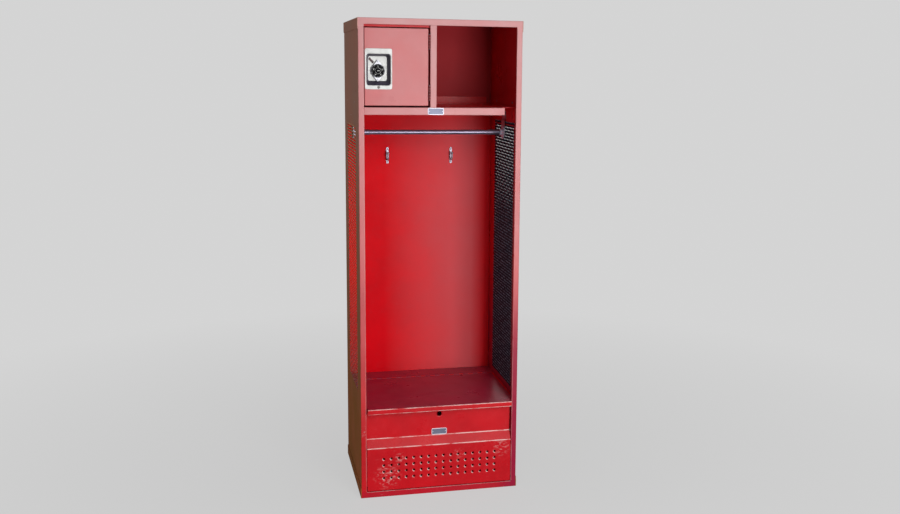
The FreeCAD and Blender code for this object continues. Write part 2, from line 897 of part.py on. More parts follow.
def coat_hook(x):
    """Hook: a rounded plate on the back with one prong bent up, ending in a bead."""
    top = shelf_z - hook_below_shelf + hook_plate_high / 2
    low = top - hook_plate_high
    half = hook_plate_width / 2
    face = back_face - hook_plate_thick
    outline = soft_box(x - half, x + half, low, top, face, half - slack)
    plate = flat(outline).extrude(V(0, hook_plate_thick, 0))
    level = low + hook_root
    root = V(x, face + hook_plate_thick / 2, level)
    tip = V(x, face - hook_reach, level + hook_bend + hook_rise)
    knees = [V(x, face - hook_reach + hook_bend, level), V(x, face - hook_reach, level + hook_bend)]
    section = Part.makePolygon(light_points(root, Y_AXIS, hook_wire, hook_sides), True)
    prong = Part.makePolygon([root] + knees + [tip]).makePipeShell([section], True, False, 1)
    bead = light_bar(tip - Z_AXIS * hook_wire, Z_AXIS, hook_bead, 2 * hook_wire)
    return joined([plate, prong, bead])


def foot_locker_front():
    """One folded sheet: top flange, recessed face with the lock hole, ledge, vented face and foot hem."""
    recessed = front_y + front_recess
    low = pan_flange + front_foot_gap
    fold = low + front_low_high
    line = [
        V(front_half, front_y + front_hem, low),
        V(front_half, front_y, low),
        V(front_half, front_y, fold),
        V(front_half, recessed, fold + front_ledge_high),
        V(front_half, recessed, seat_under),
        V(front_half, recessed + front_flange, seat_under),
    ]
    front = folded(line, sheet, V(-2 * front_half, 0, 0))
    holes = [drill(V(0, recessed, seat_height - lock_hole_drop), Y_AXIS, lock_hole, 2 * bend)]
    for row in range(vent_rows):
        for column in range(vent_columns):
            x = (column - (vent_columns - 1) / 2) * vent_pitch_x
            z = low + vent_low + row * vent_pitch_z
            holes.append(light_hole(V(x, front_y, z), Y_AXIS, vent_hole, 2 * bend, vent_sides))
    return front.cut(Part.makeCompound(holes))


def front_clips():
    """Two angles that tie the foot-locker front's ends to the uprights' returns."""
    face = front_y + sheet
    low = pan_flange + front_foot_gap + clip_inset
    line = [
        V(open_half - clip_leg, face, low),
        V(open_half, face, low),
        V(open_half, front_y + upright_return, low),
    ]
    clip = folded(line, sheet, V(0, 0, front_low_high - 2 * clip_inset))
    return Part.makeCompound([clip, other_side(clip)])


def seat_ledge():
    """Right angle that carries the lid and the rear strip along the side."""
    start = behind_return + front_recess + front_flange
    line = [
        V(inner_half - ledge_leg, start, seat_under),
        V(inner_half, start, seat_under),
        V(inner_half, start, seat_under - ledge_drop),
    ]
    return folded(line, sheet, V(0, back_face - bend - slack - start, 0))


def rear_strip():
    """Fixed strip behind the seat's hinge, turned down along the back."""
    half = inner_half - slack
    line = [
        V(half, hinge_y + seat_barrel + knuckle_gap, seat_height),
        V(half, back_face, seat_height),
        V(half, back_face, seat_height - strip_flange),
    ]
    return folded(line, sheet, V(-2 * half, 0, 0))


def seat_lid():
    """Lift-up seat: wide behind the uprights, narrower in front of them, with a hemmed nose."""
    nose = front_y - seat_nose
    rear = hinge_y - seat_barrel - knuckle_gap
    line = [
        V(nose_half, nose + lid_hem, seat_height - lid_lip),
        V(nose_half, nose, seat_height - lid_lip),
        V(nose_half, nose, seat_height),
        V(nose_half, rear, seat_height),
    ]
    middle = folded(line, sheet, V(-2 * nose_half, 0, 0))
    wide = block(-lid_half, lid_half, behind_return, rear, seat_under, seat_height)
    return joined([middle, wide])


def lid_stiffener():
    """Hat channel welded under the lid."""
    middle = front_y + stiffener_inset
    half = stiffener_wide / 2
    low = seat_under - stiffener_deep
    line = [
        V(stiffener_half, middle - half - stiffener_foot, seat_under),
        V(stiffener_half, middle - half, seat_under),
        V(stiffener_half, middle - half, low),
        V(stiffener_half, middle + half, low),
        V(stiffener_half, middle + half, seat_under),
        V(stiffener_half, middle + half + stiffener_foot, seat_under),
    ]
    return folded(line, sheet, V(-2 * stiffener_half, 0, 0))


def seat_hinge_leaf(first, along, away):
    """Continuous hinge's leaf under the lid or the strip, along the seat's hinge line."""
    length = 2 * (nose_half - seat_hinge_end_gap)
    leaf = hinge_leaf_piece(
        length, seat_knuckles, first, seat_barrel, seat_pin, seat_leaf, -seat_leaf, seat_leaf_width
    )
    turn = FreeCAD.Rotation(Z_AXIS, away, along, "ZXY")
    leaf.Placement = FreeCAD.Placement(V(0, hinge_y, seat_under) - along * (length / 2), turn)
    return leaf


def seat_hinge_pin():
    """Wire through all the continuous hinge's knuckles."""
    return drill(V(0, hinge_y, seat_under), X_AXIS, seat_pin, 2 * (nose_half - seat_hinge_end_gap))


def bare_plate(x, y, z):
    """Small bare plate with rounded corners, its back on the face at y, its middle at x and z."""
    half = plate_width / 2
    half_high = plate_high / 2
    points = soft_box(x - half, x + half, z - half_high, z + half_high, y - plate_thick, plate_corner)
    return flat(points).extrude(V(0, plate_thick, 0))


def all_pieces():
    """Every node of the locker by name."""
    pieces = {}
    places = side_bolt_places()
    cap = top_cap()
    right_side = side_panel()
    right_mesh = side_mesh()
    right_ledge = seat_ledge()
    right_socket = rod_socket()
    right_bracket = rod_bracket()
    pieces["top_cap"] = cap
    pieces["bottom_pan"] = bottom_pan(cap)
    pieces["right_side_panel"] = right_side
    pieces["left_side_panel"] = other_side(right_side)
    pieces["right_mesh"] = right_mesh
    pieces["left_mesh"] = other_side(right_mesh)
    pieces["back_panel"] = back_panel()
    pieces["upper_shelf"] = upper_shelf()
    pieces["divider"] = divider()
    pieces["door_header"] = door_header()
    pieces["shelf_bolts"] = side_bolts(places["shelf_bolts"], inner_half - sheet)
    pieces["bracket_bolts"] = side_bolts(places["bracket_bolts"], inner_half - bracket_sheet)
    pieces["door_panel"] = door_panel()
    pieces["door_hinge_leaves"] = door_hinge_leaves(1, door_right - pin_x)
    pieces["frame_hinge_leaves"] = door_hinge_leaves(0, divider_left - hinge_leaf - pin_x)
    pieces["door_hinge_pins"] = door_hinge_pins()
    pieces["lock_pocket"] = lock_pocket()
    pieces["lock_escutcheon"] = lock_escutcheon()
    pieces["lock_case"] = lock_case()
    pieces["lock_dial"] = lock_dial()
    pieces["turn_lever"] = turn_lever()
    pieces["latch_bolt"] = latch_bolt()
    pieces["latch_strike"] = latch_strike()
    pieces["key_cylinder"] = key_cylinder()
    pieces["key_plug"] = key_plug()
    pieces["coat_rod"] = coat_rod()
    pieces["right_rod_socket"] = right_socket
    pieces["left_rod_socket"] = other_side(right_socket)
    pieces["right_rod_bracket"] = right_bracket
    pieces["left_rod_bracket"] = other_side(right_bracket)
    pieces["left_coat_hook"] = coat_hook(-hook_spread)
    pieces["right_coat_hook"] = coat_hook(hook_spread)
    pieces["foot_locker_front"] = foot_locker_front()
    pieces["front_clips"] = front_clips()
    pieces["right_seat_ledge"] = right_ledge
    pieces["left_seat_ledge"] = other_side(right_ledge)
    pieces["rear_seat_strip"] = rear_strip()
    pieces["seat_lid"] = seat_lid()
    pieces["lid_stiffener"] = lid_stiffener()
    pieces["seat_hinge_lid_leaf"] = seat_hinge_leaf(1, X_AXIS, Y_AXIS * -1)
    pieces["seat_hinge_fixed_leaf"] = seat_hinge_leaf(0, X_AXIS * -1, Y_AXIS)
    pieces["seat_hinge_pin"] = seat_hinge_pin()
    shelf_plate_z = shelf_z - shelf_lip / 2
    ledge_top = pan_flange + front_foot_gap + front_low_high + front_ledge_high
    bench_plate_z = ledge_top + bench_plate_rise + plate_high / 2
    pieces["shelf_plate"] = bare_plate(shelf_plate_x, front_y, shelf_plate_z)
    pieces["bench_plate"] = bare_plate(0, front_y + front_recess, bench_plate_z)
    return pieces


os.makedirs("parts", exist_ok=True)
for name, shape in all_pieces().items():
    shape.exportStep("parts/" + name + ".step")
    solids = shape.Solids
    print(name, len(solids), round(shape.Volume), "valid" if shape.isValid() else "NOT VALID")
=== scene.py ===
import logging
import math
from dataclasses import dataclass, field, replace
from enum import Enum
from typing import Any, Sequence

import bmesh
import bpy
import numpy as np
from mathutils import Matrix, Vector


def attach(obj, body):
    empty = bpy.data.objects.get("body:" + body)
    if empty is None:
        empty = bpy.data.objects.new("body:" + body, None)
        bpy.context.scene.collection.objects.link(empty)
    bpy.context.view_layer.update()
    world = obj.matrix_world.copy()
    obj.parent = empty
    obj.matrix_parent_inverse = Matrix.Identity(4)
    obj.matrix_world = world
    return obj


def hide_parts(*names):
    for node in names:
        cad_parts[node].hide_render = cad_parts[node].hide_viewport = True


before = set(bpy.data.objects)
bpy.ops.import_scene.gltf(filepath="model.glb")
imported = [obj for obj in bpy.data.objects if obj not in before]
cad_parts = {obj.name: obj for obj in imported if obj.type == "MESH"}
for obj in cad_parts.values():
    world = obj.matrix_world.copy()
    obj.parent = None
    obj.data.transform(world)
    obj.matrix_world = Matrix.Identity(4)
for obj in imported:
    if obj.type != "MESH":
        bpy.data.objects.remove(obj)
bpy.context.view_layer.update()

logging.basicConfig(level=logging.INFO, format="%(message)s")
log = logging.getLogger("locker")

# Sizes of the sub-assemblies are in millimetres, the finishes' and the studio's in metres
MM = 0.001
TURN = 2.0 * math.pi
SHARP_ANGLE = math.radians(34.0)
WELD_DISTANCE = 1e-6
BEND_STEPS = 5
BEND_SUPPORT = (1.0, 2.4, 5.0)

Colour = tuple[float, float, float]
Pair = tuple[float, float]
Triple = tuple[float, float, float]
Edges = tuple[float, float, float, float]
Node = bpy.types.Node
Socket = bpy.types.NodeSocket
Material = bpy.types.Material
Tree = bpy.types.NodeTree

FORWARD: Triple = (0.0, -1.0, 0.0)
ORIGIN: Triple = (0.0, 0.0, 0.0)


class Body(Enum):
    """Bodies of the frame that pieces ride on."""

    CABINET = "cabinet"
    DOOR = "box_door"
    DIAL = "dial"
    LEVER = "lever"
    SEAT = "seat"


class Slot(Enum):
    """Material slots of the part."""

    RED = "red_enamel"
    ZINC = "zinc_plate"
    CHROME = "chrome"
    STAINLESS = "stainless"
    SATIN = "satin_plate"
    DIAL = "dial_black"
    LEVER = "lever_black"


class Side(Enum):
    """The two sides of the locker, as the sign of X."""

    LEFT = -1
    RIGHT = 1


class Axis(Enum):
    """Directions that turned pieces lie along."""

    X = (1.0, 0.0, 0.0)
    Y = (0.0, 1.0, 0.0)
    Z = (0.0, 0.0, 1.0)

    def frame(self) -> tuple[np.ndarray, np.ndarray, np.ndarray]:
        """Return two directions across the axis, then the axis."""
        along = np.array(self.value)
        across = np.roll(along, 1)
        return across, np.cross(along, across), along


@dataclass
class Skin:
    """A surface as points and the faces between them."""

    points: np.ndarray  # in millimetres
    quads: np.ndarray  # point numbers, one row a face
    caps: list[np.ndarray] = field(default_factory=list)  # faces with other counts of sides
    paint: int = 0  # which finish the faces take
    wear: np.ndarray | None = None  # of each point, worn paint and painted highlights alike, none at 0 and all at 1

    def triangles(self) -> np.ndarray:
        """Fans of triangles over every face.

        Returns:
            Their corner points, as (count, 3, 3).
        """
        fans = [self.quads[:, [0, 1, 2]], self.quads[:, [0, 2, 3]]]
        for cap in self.caps:
            hub = np.full(len(cap) - 2, cap[0])
            fans.append(np.stack([hub, cap[1:-1], cap[2:]], axis=1))
        return self.points[np.concatenate(fans).astype(int)]

    def turned_over(self) -> "Skin":
        """Return the surface with every face turned over."""
        return replace(self, quads=self.quads[:, ::-1], caps=[cap[::-1] for cap in self.caps])

    def outward(self) -> "Skin":
        """Return a closed surface with its faces outwards: its signed volume is made positive."""
        first, second, third = self.triangles().transpose(1, 0, 2)
        volume = np.einsum("ij,ij->", first - first[0], np.cross(second - first[0], third - first[0]))
        return self if volume > 0 else self.turned_over()

    def facing(self, direction: Triple) -> "Skin":
        """Return an open surface with the sum of its face normals along the direction."""
        first, second, third = self.triangles().transpose(1, 0, 2)
        total = np.cross(second - first, third - first).sum(axis=0)
        return self if total @ np.array(direction) > 0 else self.turned_over()

    def at(self, places: Sequence[Triple] | np.ndarray) -> "Skin":
        """Repeat the surface.

        Args:
            places: Offset of each copy in millimetres.

        Returns:
            One surface with a copy at each place: point + offset for every pair.
        """
        offsets = np.asarray(places, dtype=float)
        starts = len(self.points) * np.arange(len(offsets))
        return replace(
            self,
            points=(self.points[None] + offsets[:, None]).reshape(-1, 3),
            quads=(self.quads[None] + starts[:, None, None]).reshape(-1, 4),
            caps=[cap + start for start in starts for cap in self.caps],
            wear=None if self.wear is None else np.tile(self.wear, len(offsets)),
        )

    def placed(self, origin: Triple, along: Triple, away: Triple, over: Triple) -> "Skin":
        """Return a closed surface carried to origin + a·along + b·away + c·over, faces outwards."""
        axes = np.array([along, away, over], dtype=float)
        return replace(self, points=np.array(origin) + self.points @ axes).outward()

    def mirrored(self, side: Side) -> "Skin":
        """Return the surface on the named side; it is drawn on the right."""
        points = self.points * np.array([side.value, 1.0, 1.0])
        made = replace(self, points=points)
        return made if side is Side.RIGHT else made.turned_over()


def unit(rows: np.ndarray) -> np.ndarray:
    """Return each row at length one."""
    return rows / np.linalg.norm(rows, axis=-1, keepdims=True)


def grid(points: np.ndarray, around: bool = False, ends: bool = False) -> Skin:
    """Join a grid of points, or a stack of such grids, with four-sided faces.

    Args:
        points: Array (rows, columns, 3), or (grids, rows, columns, 3).
        around: Whether the last column joins the first.
        ends: Whether the first and last row are closed with a face.

    Returns:
        The surface whose face (i, j) joins point (i, j) to its next row and column.
    """
    stack = points if points.ndim == 4 else points[None]
    number = np.arange(stack[..., 0].size).reshape(stack.shape[:3])
    here = number if around else number[:, :, :-1]
    beside = np.roll(number, -1, axis=2) if around else number[:, :, 1:]
    quads = np.stack([here[:, :-1], beside[:, :-1], beside[:, 1:], here[:, 1:]], axis=-1)
    caps = [*number[:, 0, ::-1], *number[:, -1]] if ends else []
    return Skin(stack.reshape(-1, 3), quads.reshape(-1, 4), caps)


def rounded_line(corners: Sequence[Sequence[float]], radius: Any, steps: int = 5) -> np.ndarray:
    """Points along straight runs whose inner corners are turned into arcs.

    Each arc starts and ends radius / tan(half the corner's angle) from its corner. Its points are
    the centre plus the first and last spoke, weighted by sin((1 - t)w) / sin w and sin(tw) / sin w.

    Args:
        corners: The corner points, in two or three dimensions.
        radius: One radius for all inner corners, or one each.
        steps: Pieces in each arc.

    Returns:
        The points in order, first and last corner included.
    """
    corner = np.asarray(corners, dtype=float)
    at = corner[1:-1]
    back = unit(corner[:-2] - at)
    ahead = unit(corner[2:] - at)
    half = 0.5 * np.arccos(np.clip(np.einsum("ij,ij->i", back, ahead), -1.0, 1.0))
    reach = np.broadcast_to(np.asarray(radius, dtype=float), half.shape)
    centre = at + unit(back + ahead) * (reach / np.sin(half))[:, None]
    setback = (reach / np.tan(half))[:, None]
    first = at + back * setback - centre
    last = at + ahead * setback - centre
    sweep = (math.pi - 2.0 * half)[:, None]
    part = np.linspace(0.0, 1.0, steps + 1)[None]
    share_first = np.sin((1.0 - part) * sweep) / np.sin(sweep)
    share_last = np.sin(part * sweep) / np.sin(sweep)
    arcs = centre[:, None] + share_first[..., None] * first[:, None] + share_last[..., None] * last[:, None]
    return np.concatenate([corner[:1], arcs.reshape(-1, corner.shape[1]), corner[-1:]])


def rounded_box_loop(edges: Edges, radius: float, steps: int = 5) -> np.ndarray:
    """Closed outline of a rectangle with arcs at its corners.

    Args:
        edges: Left, right, low and high edge.
        radius: Radius of the corners.
        steps: Pieces in each arc.

    Returns:
        Pairs in order, the last one joining the first.
    """
    left, right, low, high = edges
    ring = [(left, high), (left, low), (right, low), (right, high), (left, high), (left, low)]
    return rounded_line(ring, radius, steps)[1:-1]


def grown(edges: Edges, by: float) -> Edges:
    """Return the four edges of a rectangle moved outwards."""
    left, right, low, high = edges
    return left - by, right + by, low - by, high + by


def stacked(x: Any, y: Any, z: Any) -> np.ndarray:
    """Return points from three arrays of coordinates, each stretched to their common shape."""
    return np.stack(np.broadcast_arrays(x, y, z), axis=-1)


def carried(rows: np.ndarray, across: np.ndarray) -> np.ndarray:
    """Return a grid of points: each row's depth and height at every X."""
    return stacked(across[None], rows[:, :1], rows[:, 1:])


def inset(loop: np.ndarray, distance: float) -> np.ndarray:
    """Return a closed outline moved inwards by the distance along its own normals."""
    way = unit(np.roll(loop, -1, axis=0) - np.roll(loop, 1, axis=0))
    normal = np.column_stack([way[:, 1], -way[:, 0]])
    area = np.sum(loop[:, 0] * np.roll(loop[:, 1], -1) - np.roll(loop[:, 0], -1) * loop[:, 1])
    return loop - math.copysign(distance, area) * normal


def pressed(loops: Sequence[np.ndarray], depths: Sequence[float], ends: bool = True) -> Skin:
    """Return the surface through a stack of upright outlines of equal counts, each at its depth Y."""
    rows = np.stack([stacked(loop[:, 0], depth, loop[:, 1]) for loop, depth in zip(loops, depths)])
    return grid(rows, around=True, ends=ends)


def raised(outline: np.ndarray, insets: Sequence[float], depths: Sequence[float]) -> Skin:
    """Return a closed plate whose edge is rounded: the outline drawn in by each inset at its depth Y."""
    return pressed([inset(outline, step) for step in insets], depths).outward()


def turned(profile: Sequence[Pair], centre: Triple, axis: Axis, sides: int = 32) -> Skin:
    """Surface of revolution, closed at both ends.

    Args:
        profile: Pairs of radius and distance along the axis.
        centre: Point on the axis that the distances start from.
        axis: Direction of the axis.
        sides: Steps around.

    Returns:
        Points centre + distance·axis + radius·(cos a·across + sin a·beside).
    """
    across, beside, along = axis.frame()
    radius, distance = np.asarray(profile, dtype=float).T
    angle = np.linspace(0.0, TURN, sides, endpoint=False)
    spokes = np.cos(angle)[:, None] * across + np.sin(angle)[:, None] * beside
    rows = np.array(centre) + distance[:, None, None] * along + radius[:, None, None] * spokes[None]
    return grid(rows, around=True, ends=True).outward()


def swept(section: np.ndarray, path: np.ndarray, lateral: Triple) -> Skin:
    """Section carried along a path in one plane, closed at both ends.

    Args:
        section: Pairs across the path: along the lateral direction and along the path's normal.
        path: Points of the path.
        lateral: Normal of the path's plane.

    Returns:
        Points path + u·lateral + v·(tangent x lateral).
    """
    tangent = unit(np.gradient(path, axis=0))
    normal = np.cross(tangent, np.array(lateral))
    across = section[None, :, :1] * np.array(lateral) + section[None, :, 1:] * normal[:, None]
    return grid(path[:, None] + across, around=True, ends=True).outward()


def circle(radius: float, sides: int = 16) -> np.ndarray:
    """Return pairs on a circle."""
    angle = np.linspace(0.0, TURN, sides, endpoint=False)
    return radius * np.column_stack([np.cos(angle), np.sin(angle)])


def bar(low: Triple, high: Triple) -> Skin:
    """Return a plain rectangular bar between two corners."""
    ring = np.array([(low[0], low[1]), (high[0], low[1]), (high[0], high[1]), (low[0], high[1])])
    rows = np.stack([np.column_stack([ring, np.full(4, level)]) for level in (low[2], high[2])])
    return grid(rows, around=True, ends=True).outward()


def dome_profile(radius: float, high: float, foot: float = 0.3) -> list[Pair]:
    """Profile of a round head: a short straight foot, then a quarter of an ellipse to the pole.

    Args:
        radius: Radius at the foot.
        high: Whole height.
        foot: Share of the height that is straight.

    Returns:
        Pairs of radius and height.
    """
    rise = np.linspace(0.0, 0.5 * math.pi, 6)
    top = np.column_stack([radius * np.cos(rise), high * (foot + (1.0 - foot) * np.sin(rise))])
    return [(0.0, 0.0), (radius, 0.0), *map(tuple, top)]


def heads(places: Sequence[Triple], size: Pair, axis: Axis, sides: int = 20) -> list[Skin]:
    """Return round heads of a radius and height, one at each place, rising against the axis."""
    dome = [(radius, -rise) for radius, rise in dome_profile(*size)]
    return [turned(dome, middle, axis, sides) for middle in places]


def lettering(text: str, size: float, thick: float) -> Skin:
    """Flat characters as a solid mesh about their own middle.

    Args:
        text: The characters.
        size: Height of the type in millimetres.
        thick: Thickness in millimetres.

    Returns:
        The surface, drawn in its first two axes.
    """
    curve = bpy.data.curves.new("figure", "FONT")
    curve.body = text
    curve.size = size
    curve.extrude = thick / 2.0
    curve.align_x = "CENTER"
    curve.align_y = "CENTER"
    curve.resolution_u = 3
    holder = bpy.data.objects.new("figure", curve)
    bpy.context.collection.objects.link(holder)
    graph = bpy.context.evaluated_depsgraph_get()
    mesh = bpy.data.meshes.new_from_object(holder.evaluated_get(graph))
    points = np.empty(3 * len(mesh.vertices))
    mesh.vertices.foreach_get("co", points)
    faces = [np.array(face.vertices) for face in mesh.polygons]
    bpy.data.objects.remove(holder)
    bpy.data.curves.remove(curve)
    bpy.data.meshes.remove(mesh)
    return Skin(points.reshape(-1, 3), np.empty((0, 4), dtype=int), faces)


def weld(mesh: bpy.types.Mesh) -> None:
    """Merge points that coincide and drop faces without area.

    Args:
        mesh: The mesh to change.
    """
    work = bmesh.new()
    work.from_mesh(mesh)
    bmesh.ops.remove_doubles(work, verts=work.verts, dist=WELD_DISTANCE)
    bmesh.ops.dissolve_degenerate(work, edges=work.edges, dist=WELD_DISTANCE / 10.0)
    work.to_mesh(mesh)
    work.free()


def mesh_of(name: str, skins: Sequence[Skin]) -> bpy.types.Mesh:
    """Make one mesh of several surfaces.

    Args:
        name: Name of the mesh.
        skins: The surfaces, in millimetres.

    Returns:
        The welded mesh in metres, with each face's finish and each point's wear, which also holds painted
        highlights.
    """
    starts = np.cumsum([0] + [len(skin.points) for skin in skins])
    faces: list[list[int]] = []
    paints: list[int] = []
    for skin, start in zip(skins, starts):
        own = (skin.quads + start).tolist() + [(cap + start).tolist() for cap in skin.caps]
        faces += own
        paints += [skin.paint] * len(own)
    points = np.concatenate([skin.points for skin in skins]) * MM
    unworn = [np.zeros(len(skin.points)) for skin in skins]
    wear = np.concatenate([none if skin.wear is None else skin.wear for skin, none in zip(skins, unworn)])
    mesh = bpy.data.meshes.new(name)
    mesh.from_pydata(points.tolist(), [], faces)
    mesh.polygons.foreach_set("material_index", paints)
    mesh.attributes.new("wear", "FLOAT", "POINT").data.foreach_set("value", wear.astype(np.float32))
    weld(mesh)
    return mesh


def settle(piece: bpy.types.Object) -> None:
    """Put the result of the piece's modifiers into its mesh."""
    graph = bpy.context.evaluated_depsgraph_get()
    mesh = bpy.data.meshes.new_from_object(piece.evaluated_get(graph))
    piece.modifiers.clear()
    piece.data = mesh


@dataclass
class Cutter:
    """A round hole to cut through a piece."""

    centre: Triple
    axis: Axis
    radius: float
    length: float

    def cut(self, piece: bpy.types.Object) -> None:
        """Cut the hole.

        Args:
            piece: The object whose mesh is cut.
        """
        half = self.length / 2.0
        skin = turned([(self.radius, -half), (self.radius, half)], self.centre, self.axis)
        tool = bpy.data.objects.new("cutter", mesh_of("cutter", [skin]))
        bpy.context.collection.objects.link(tool)
        work = piece.modifiers.new("hole", "BOOLEAN")
        work.operation = "DIFFERENCE"
        work.object = tool
        settle(piece)
        bpy.data.objects.remove(tool)


def place(
    name: str,
    skins: Sequence[Skin],
    finishes: Sequence[Material],
    body: Body,
    slot: Slot,
    stands_for: Sequence[str],
    wall: float = 0.0,
    holes: Sequence[Cutter] = (),
) -> bpy.types.Object:
    """Make a finished piece, parent it to its body's empty and hide the nodes that it stands for.

    Args:
        name: Name of the piece.
        skins: Its surfaces.
        finishes: Its materials, in the order of the surfaces' paint numbers.
        body: Body that it rides on.
        slot: Material slot meant for it; not used.
        stands_for: Nodes that it replaces.
        wall: Sheet thickness to give an open surface, inwards, in millimetres.
        holes: Round holes to cut through it.

    Returns:
        The piece's object.
    """
    piece = bpy.data.objects.new(name, mesh_of(name, skins))
    bpy.context.collection.objects.link(piece)
    for finish in finishes:
        piece.data.materials.append(finish)
    if wall:
        sheet = piece.modifiers.new("sheet", "SOLIDIFY")
        sheet.thickness = wall * MM
        sheet.offset = -1.0
        settle(piece)
    for hole in holes:
        hole.cut(piece)
    piece.data.shade_smooth()
    piece.data.set_sharp_from_angle(angle=SHARP_ANGLE)
    normals = piece.modifiers.new("normals", "WEIGHTED_NORMAL")
    normals.keep_sharp = True
    settle(piece)
    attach(piece, body.value)
    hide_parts(*stands_for)
    log.info("%s on %s for %s: %d faces", name, body.value, ", ".join(stands_for), len(piece.data.polygons))
    return piece


def dress(nodes: Sequence[str], finish: Material) -> None:
    """Finish nodes that are shown as built.

    Args:
        nodes: Their names.
        finish: Their material.
    """
    for name in nodes:
        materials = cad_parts[name].data.materials
        materials.clear()
        materials.append(finish)
        log.info("%s keeps its own shape, in %s", name, finish.name)


class Graph:
    """One node tree, with short ways to add and join nodes."""

    def __init__(self, tree: Tree) -> None:
        """Keep the tree that nodes are added to."""
        self.tree = tree

    def add(self, kind: str, inputs: dict[Any, Any] | None = None, **settings: Any) -> Node:
        """Add a node.

        Args:
            kind: Blender's name of the node type.
            inputs: Value or source socket of each input, by name or number.
            **settings: Properties of the node.

        Returns:
            The node.
        """
        node = self.tree.nodes.new(kind)
        for name, value in settings.items():
            setattr(node, name, value)
        self.feed(node, inputs or {})
        return node

    def feed(self, node: Node, inputs: dict[Any, Any]) -> None:
        """Link a node's inputs to source sockets, or set their values; a colour is made opaque.

        Args:
            node: The node.
            inputs: Value or source socket of each input, by name or number.
        """
        for name, value in inputs.items():
            socket = node.inputs[name]
            if isinstance(value, Socket):
                self.tree.links.new(value, socket)
            else:
                socket.default_value = (*value, 1.0) if socket.type == "RGBA" else value

    def place(self) -> Socket:
        """Return the piece's own coordinates, in metres."""
        return self.add("ShaderNodeTexCoord").outputs["Object"]

    def stretched(self, where: Any, scale: Triple, turn: Triple = (0.0, 0.0, 0.0)) -> Socket:
        """Return coordinates turned and stretched by a mapping."""
        inputs = {"Vector": where, "Scale": scale, "Rotation": turn}
        return self.add("ShaderNodeMapping", inputs).outputs["Vector"]

    def noise(self, where: Any, scale: Any, detail: float = 3.0) -> Socket:
        """Return cloudy noise between 0 and 1 about the place."""
        inputs = {"Vector": where, "Scale": scale, "Detail": detail, "Roughness": 0.55}
        return self.add("ShaderNodeTexNoise", inputs).outputs["Fac"]

    def span(self, value: Any, low: float, high: float, start: Any = 0.0, end: Any = 1.0) -> Socket:
        """Return the value carried from one range to another, held at its ends."""
        inputs = {"Value": value, "From Min": low, "From Max": high, "To Min": start, "To Max": end}
        return self.add("ShaderNodeMapRange", inputs).outputs["Result"]

    def clouds(self, where: Any, size: float, start: float, end: float, detail: float = 4.0) -> Socket:
        """Return cloudy noise with its middle spread between two values."""
        return self.span(self.noise(where, size, detail), 0.30, 0.70, start, end)

    def grey(self, value: Any) -> Socket:
        """Return a grey of the value."""
        return self.add("ShaderNodeCombineColor", {0: value, 1: value, 2: value}).outputs[0]

    def product(self, first: Any, *others: Any) -> Socket:
        """Return several values multiplied together."""
        for other in others:
            first = self.sum("MULTIPLY", first, other)
        return first

    def largest(self, first: Any, *others: Any) -> Socket:
        """Return the largest of several values."""
        for other in others:
            first = self.sum("MAXIMUM", first, other)
        return first

    def far(self, where: Any, centre: Triple = ORIGIN) -> Socket:
        """Return the distance of the place from a centre."""
        inputs = {0: where, 1: centre}
        return self.add("ShaderNodeVectorMath", inputs, operation="DISTANCE").outputs["Value"]

    def rounding(self, radius: Any) -> Socket:
        """Return the normal with edges rounded by the radius."""
        return self.add("ShaderNodeBevel", {"Radius": radius}, samples=4).outputs["Normal"]

    def sum(self, work: str, first: Any, second: Any = 0.0) -> Socket:
        """Return the outcome of one sum."""
        return self.add("ShaderNodeMath", {0: first, 1: second}, operation=work).outputs[0]

    def blend(self, share: Any, under: Any, over: Any) -> Socket:
        """Return two colours mixed by the share of the second."""
        return self.add("ShaderNodeMix", {0: share, 6: under, 7: over}, data_type="RGBA").outputs[2]

    def parts(self, vector: Any) -> Sequence[Socket]:
        """Return the three parts of a vector."""
        return self.add("ShaderNodeSeparateXYZ", {"Vector": vector}).outputs

    def group(self, tree: Tree, **inputs: Any) -> Socket:
        """Place a shared effect with its own values and return its one outcome."""
        return self.add("ShaderNodeGroup", inputs, node_tree=tree).outputs[0]


class Kind(Enum):
    """Kinds of socket on a shared effect."""

    VALUE = "NodeSocketFloat"
    COLOUR = "NodeSocketColor"
    VECTOR = "NodeSocketVector"


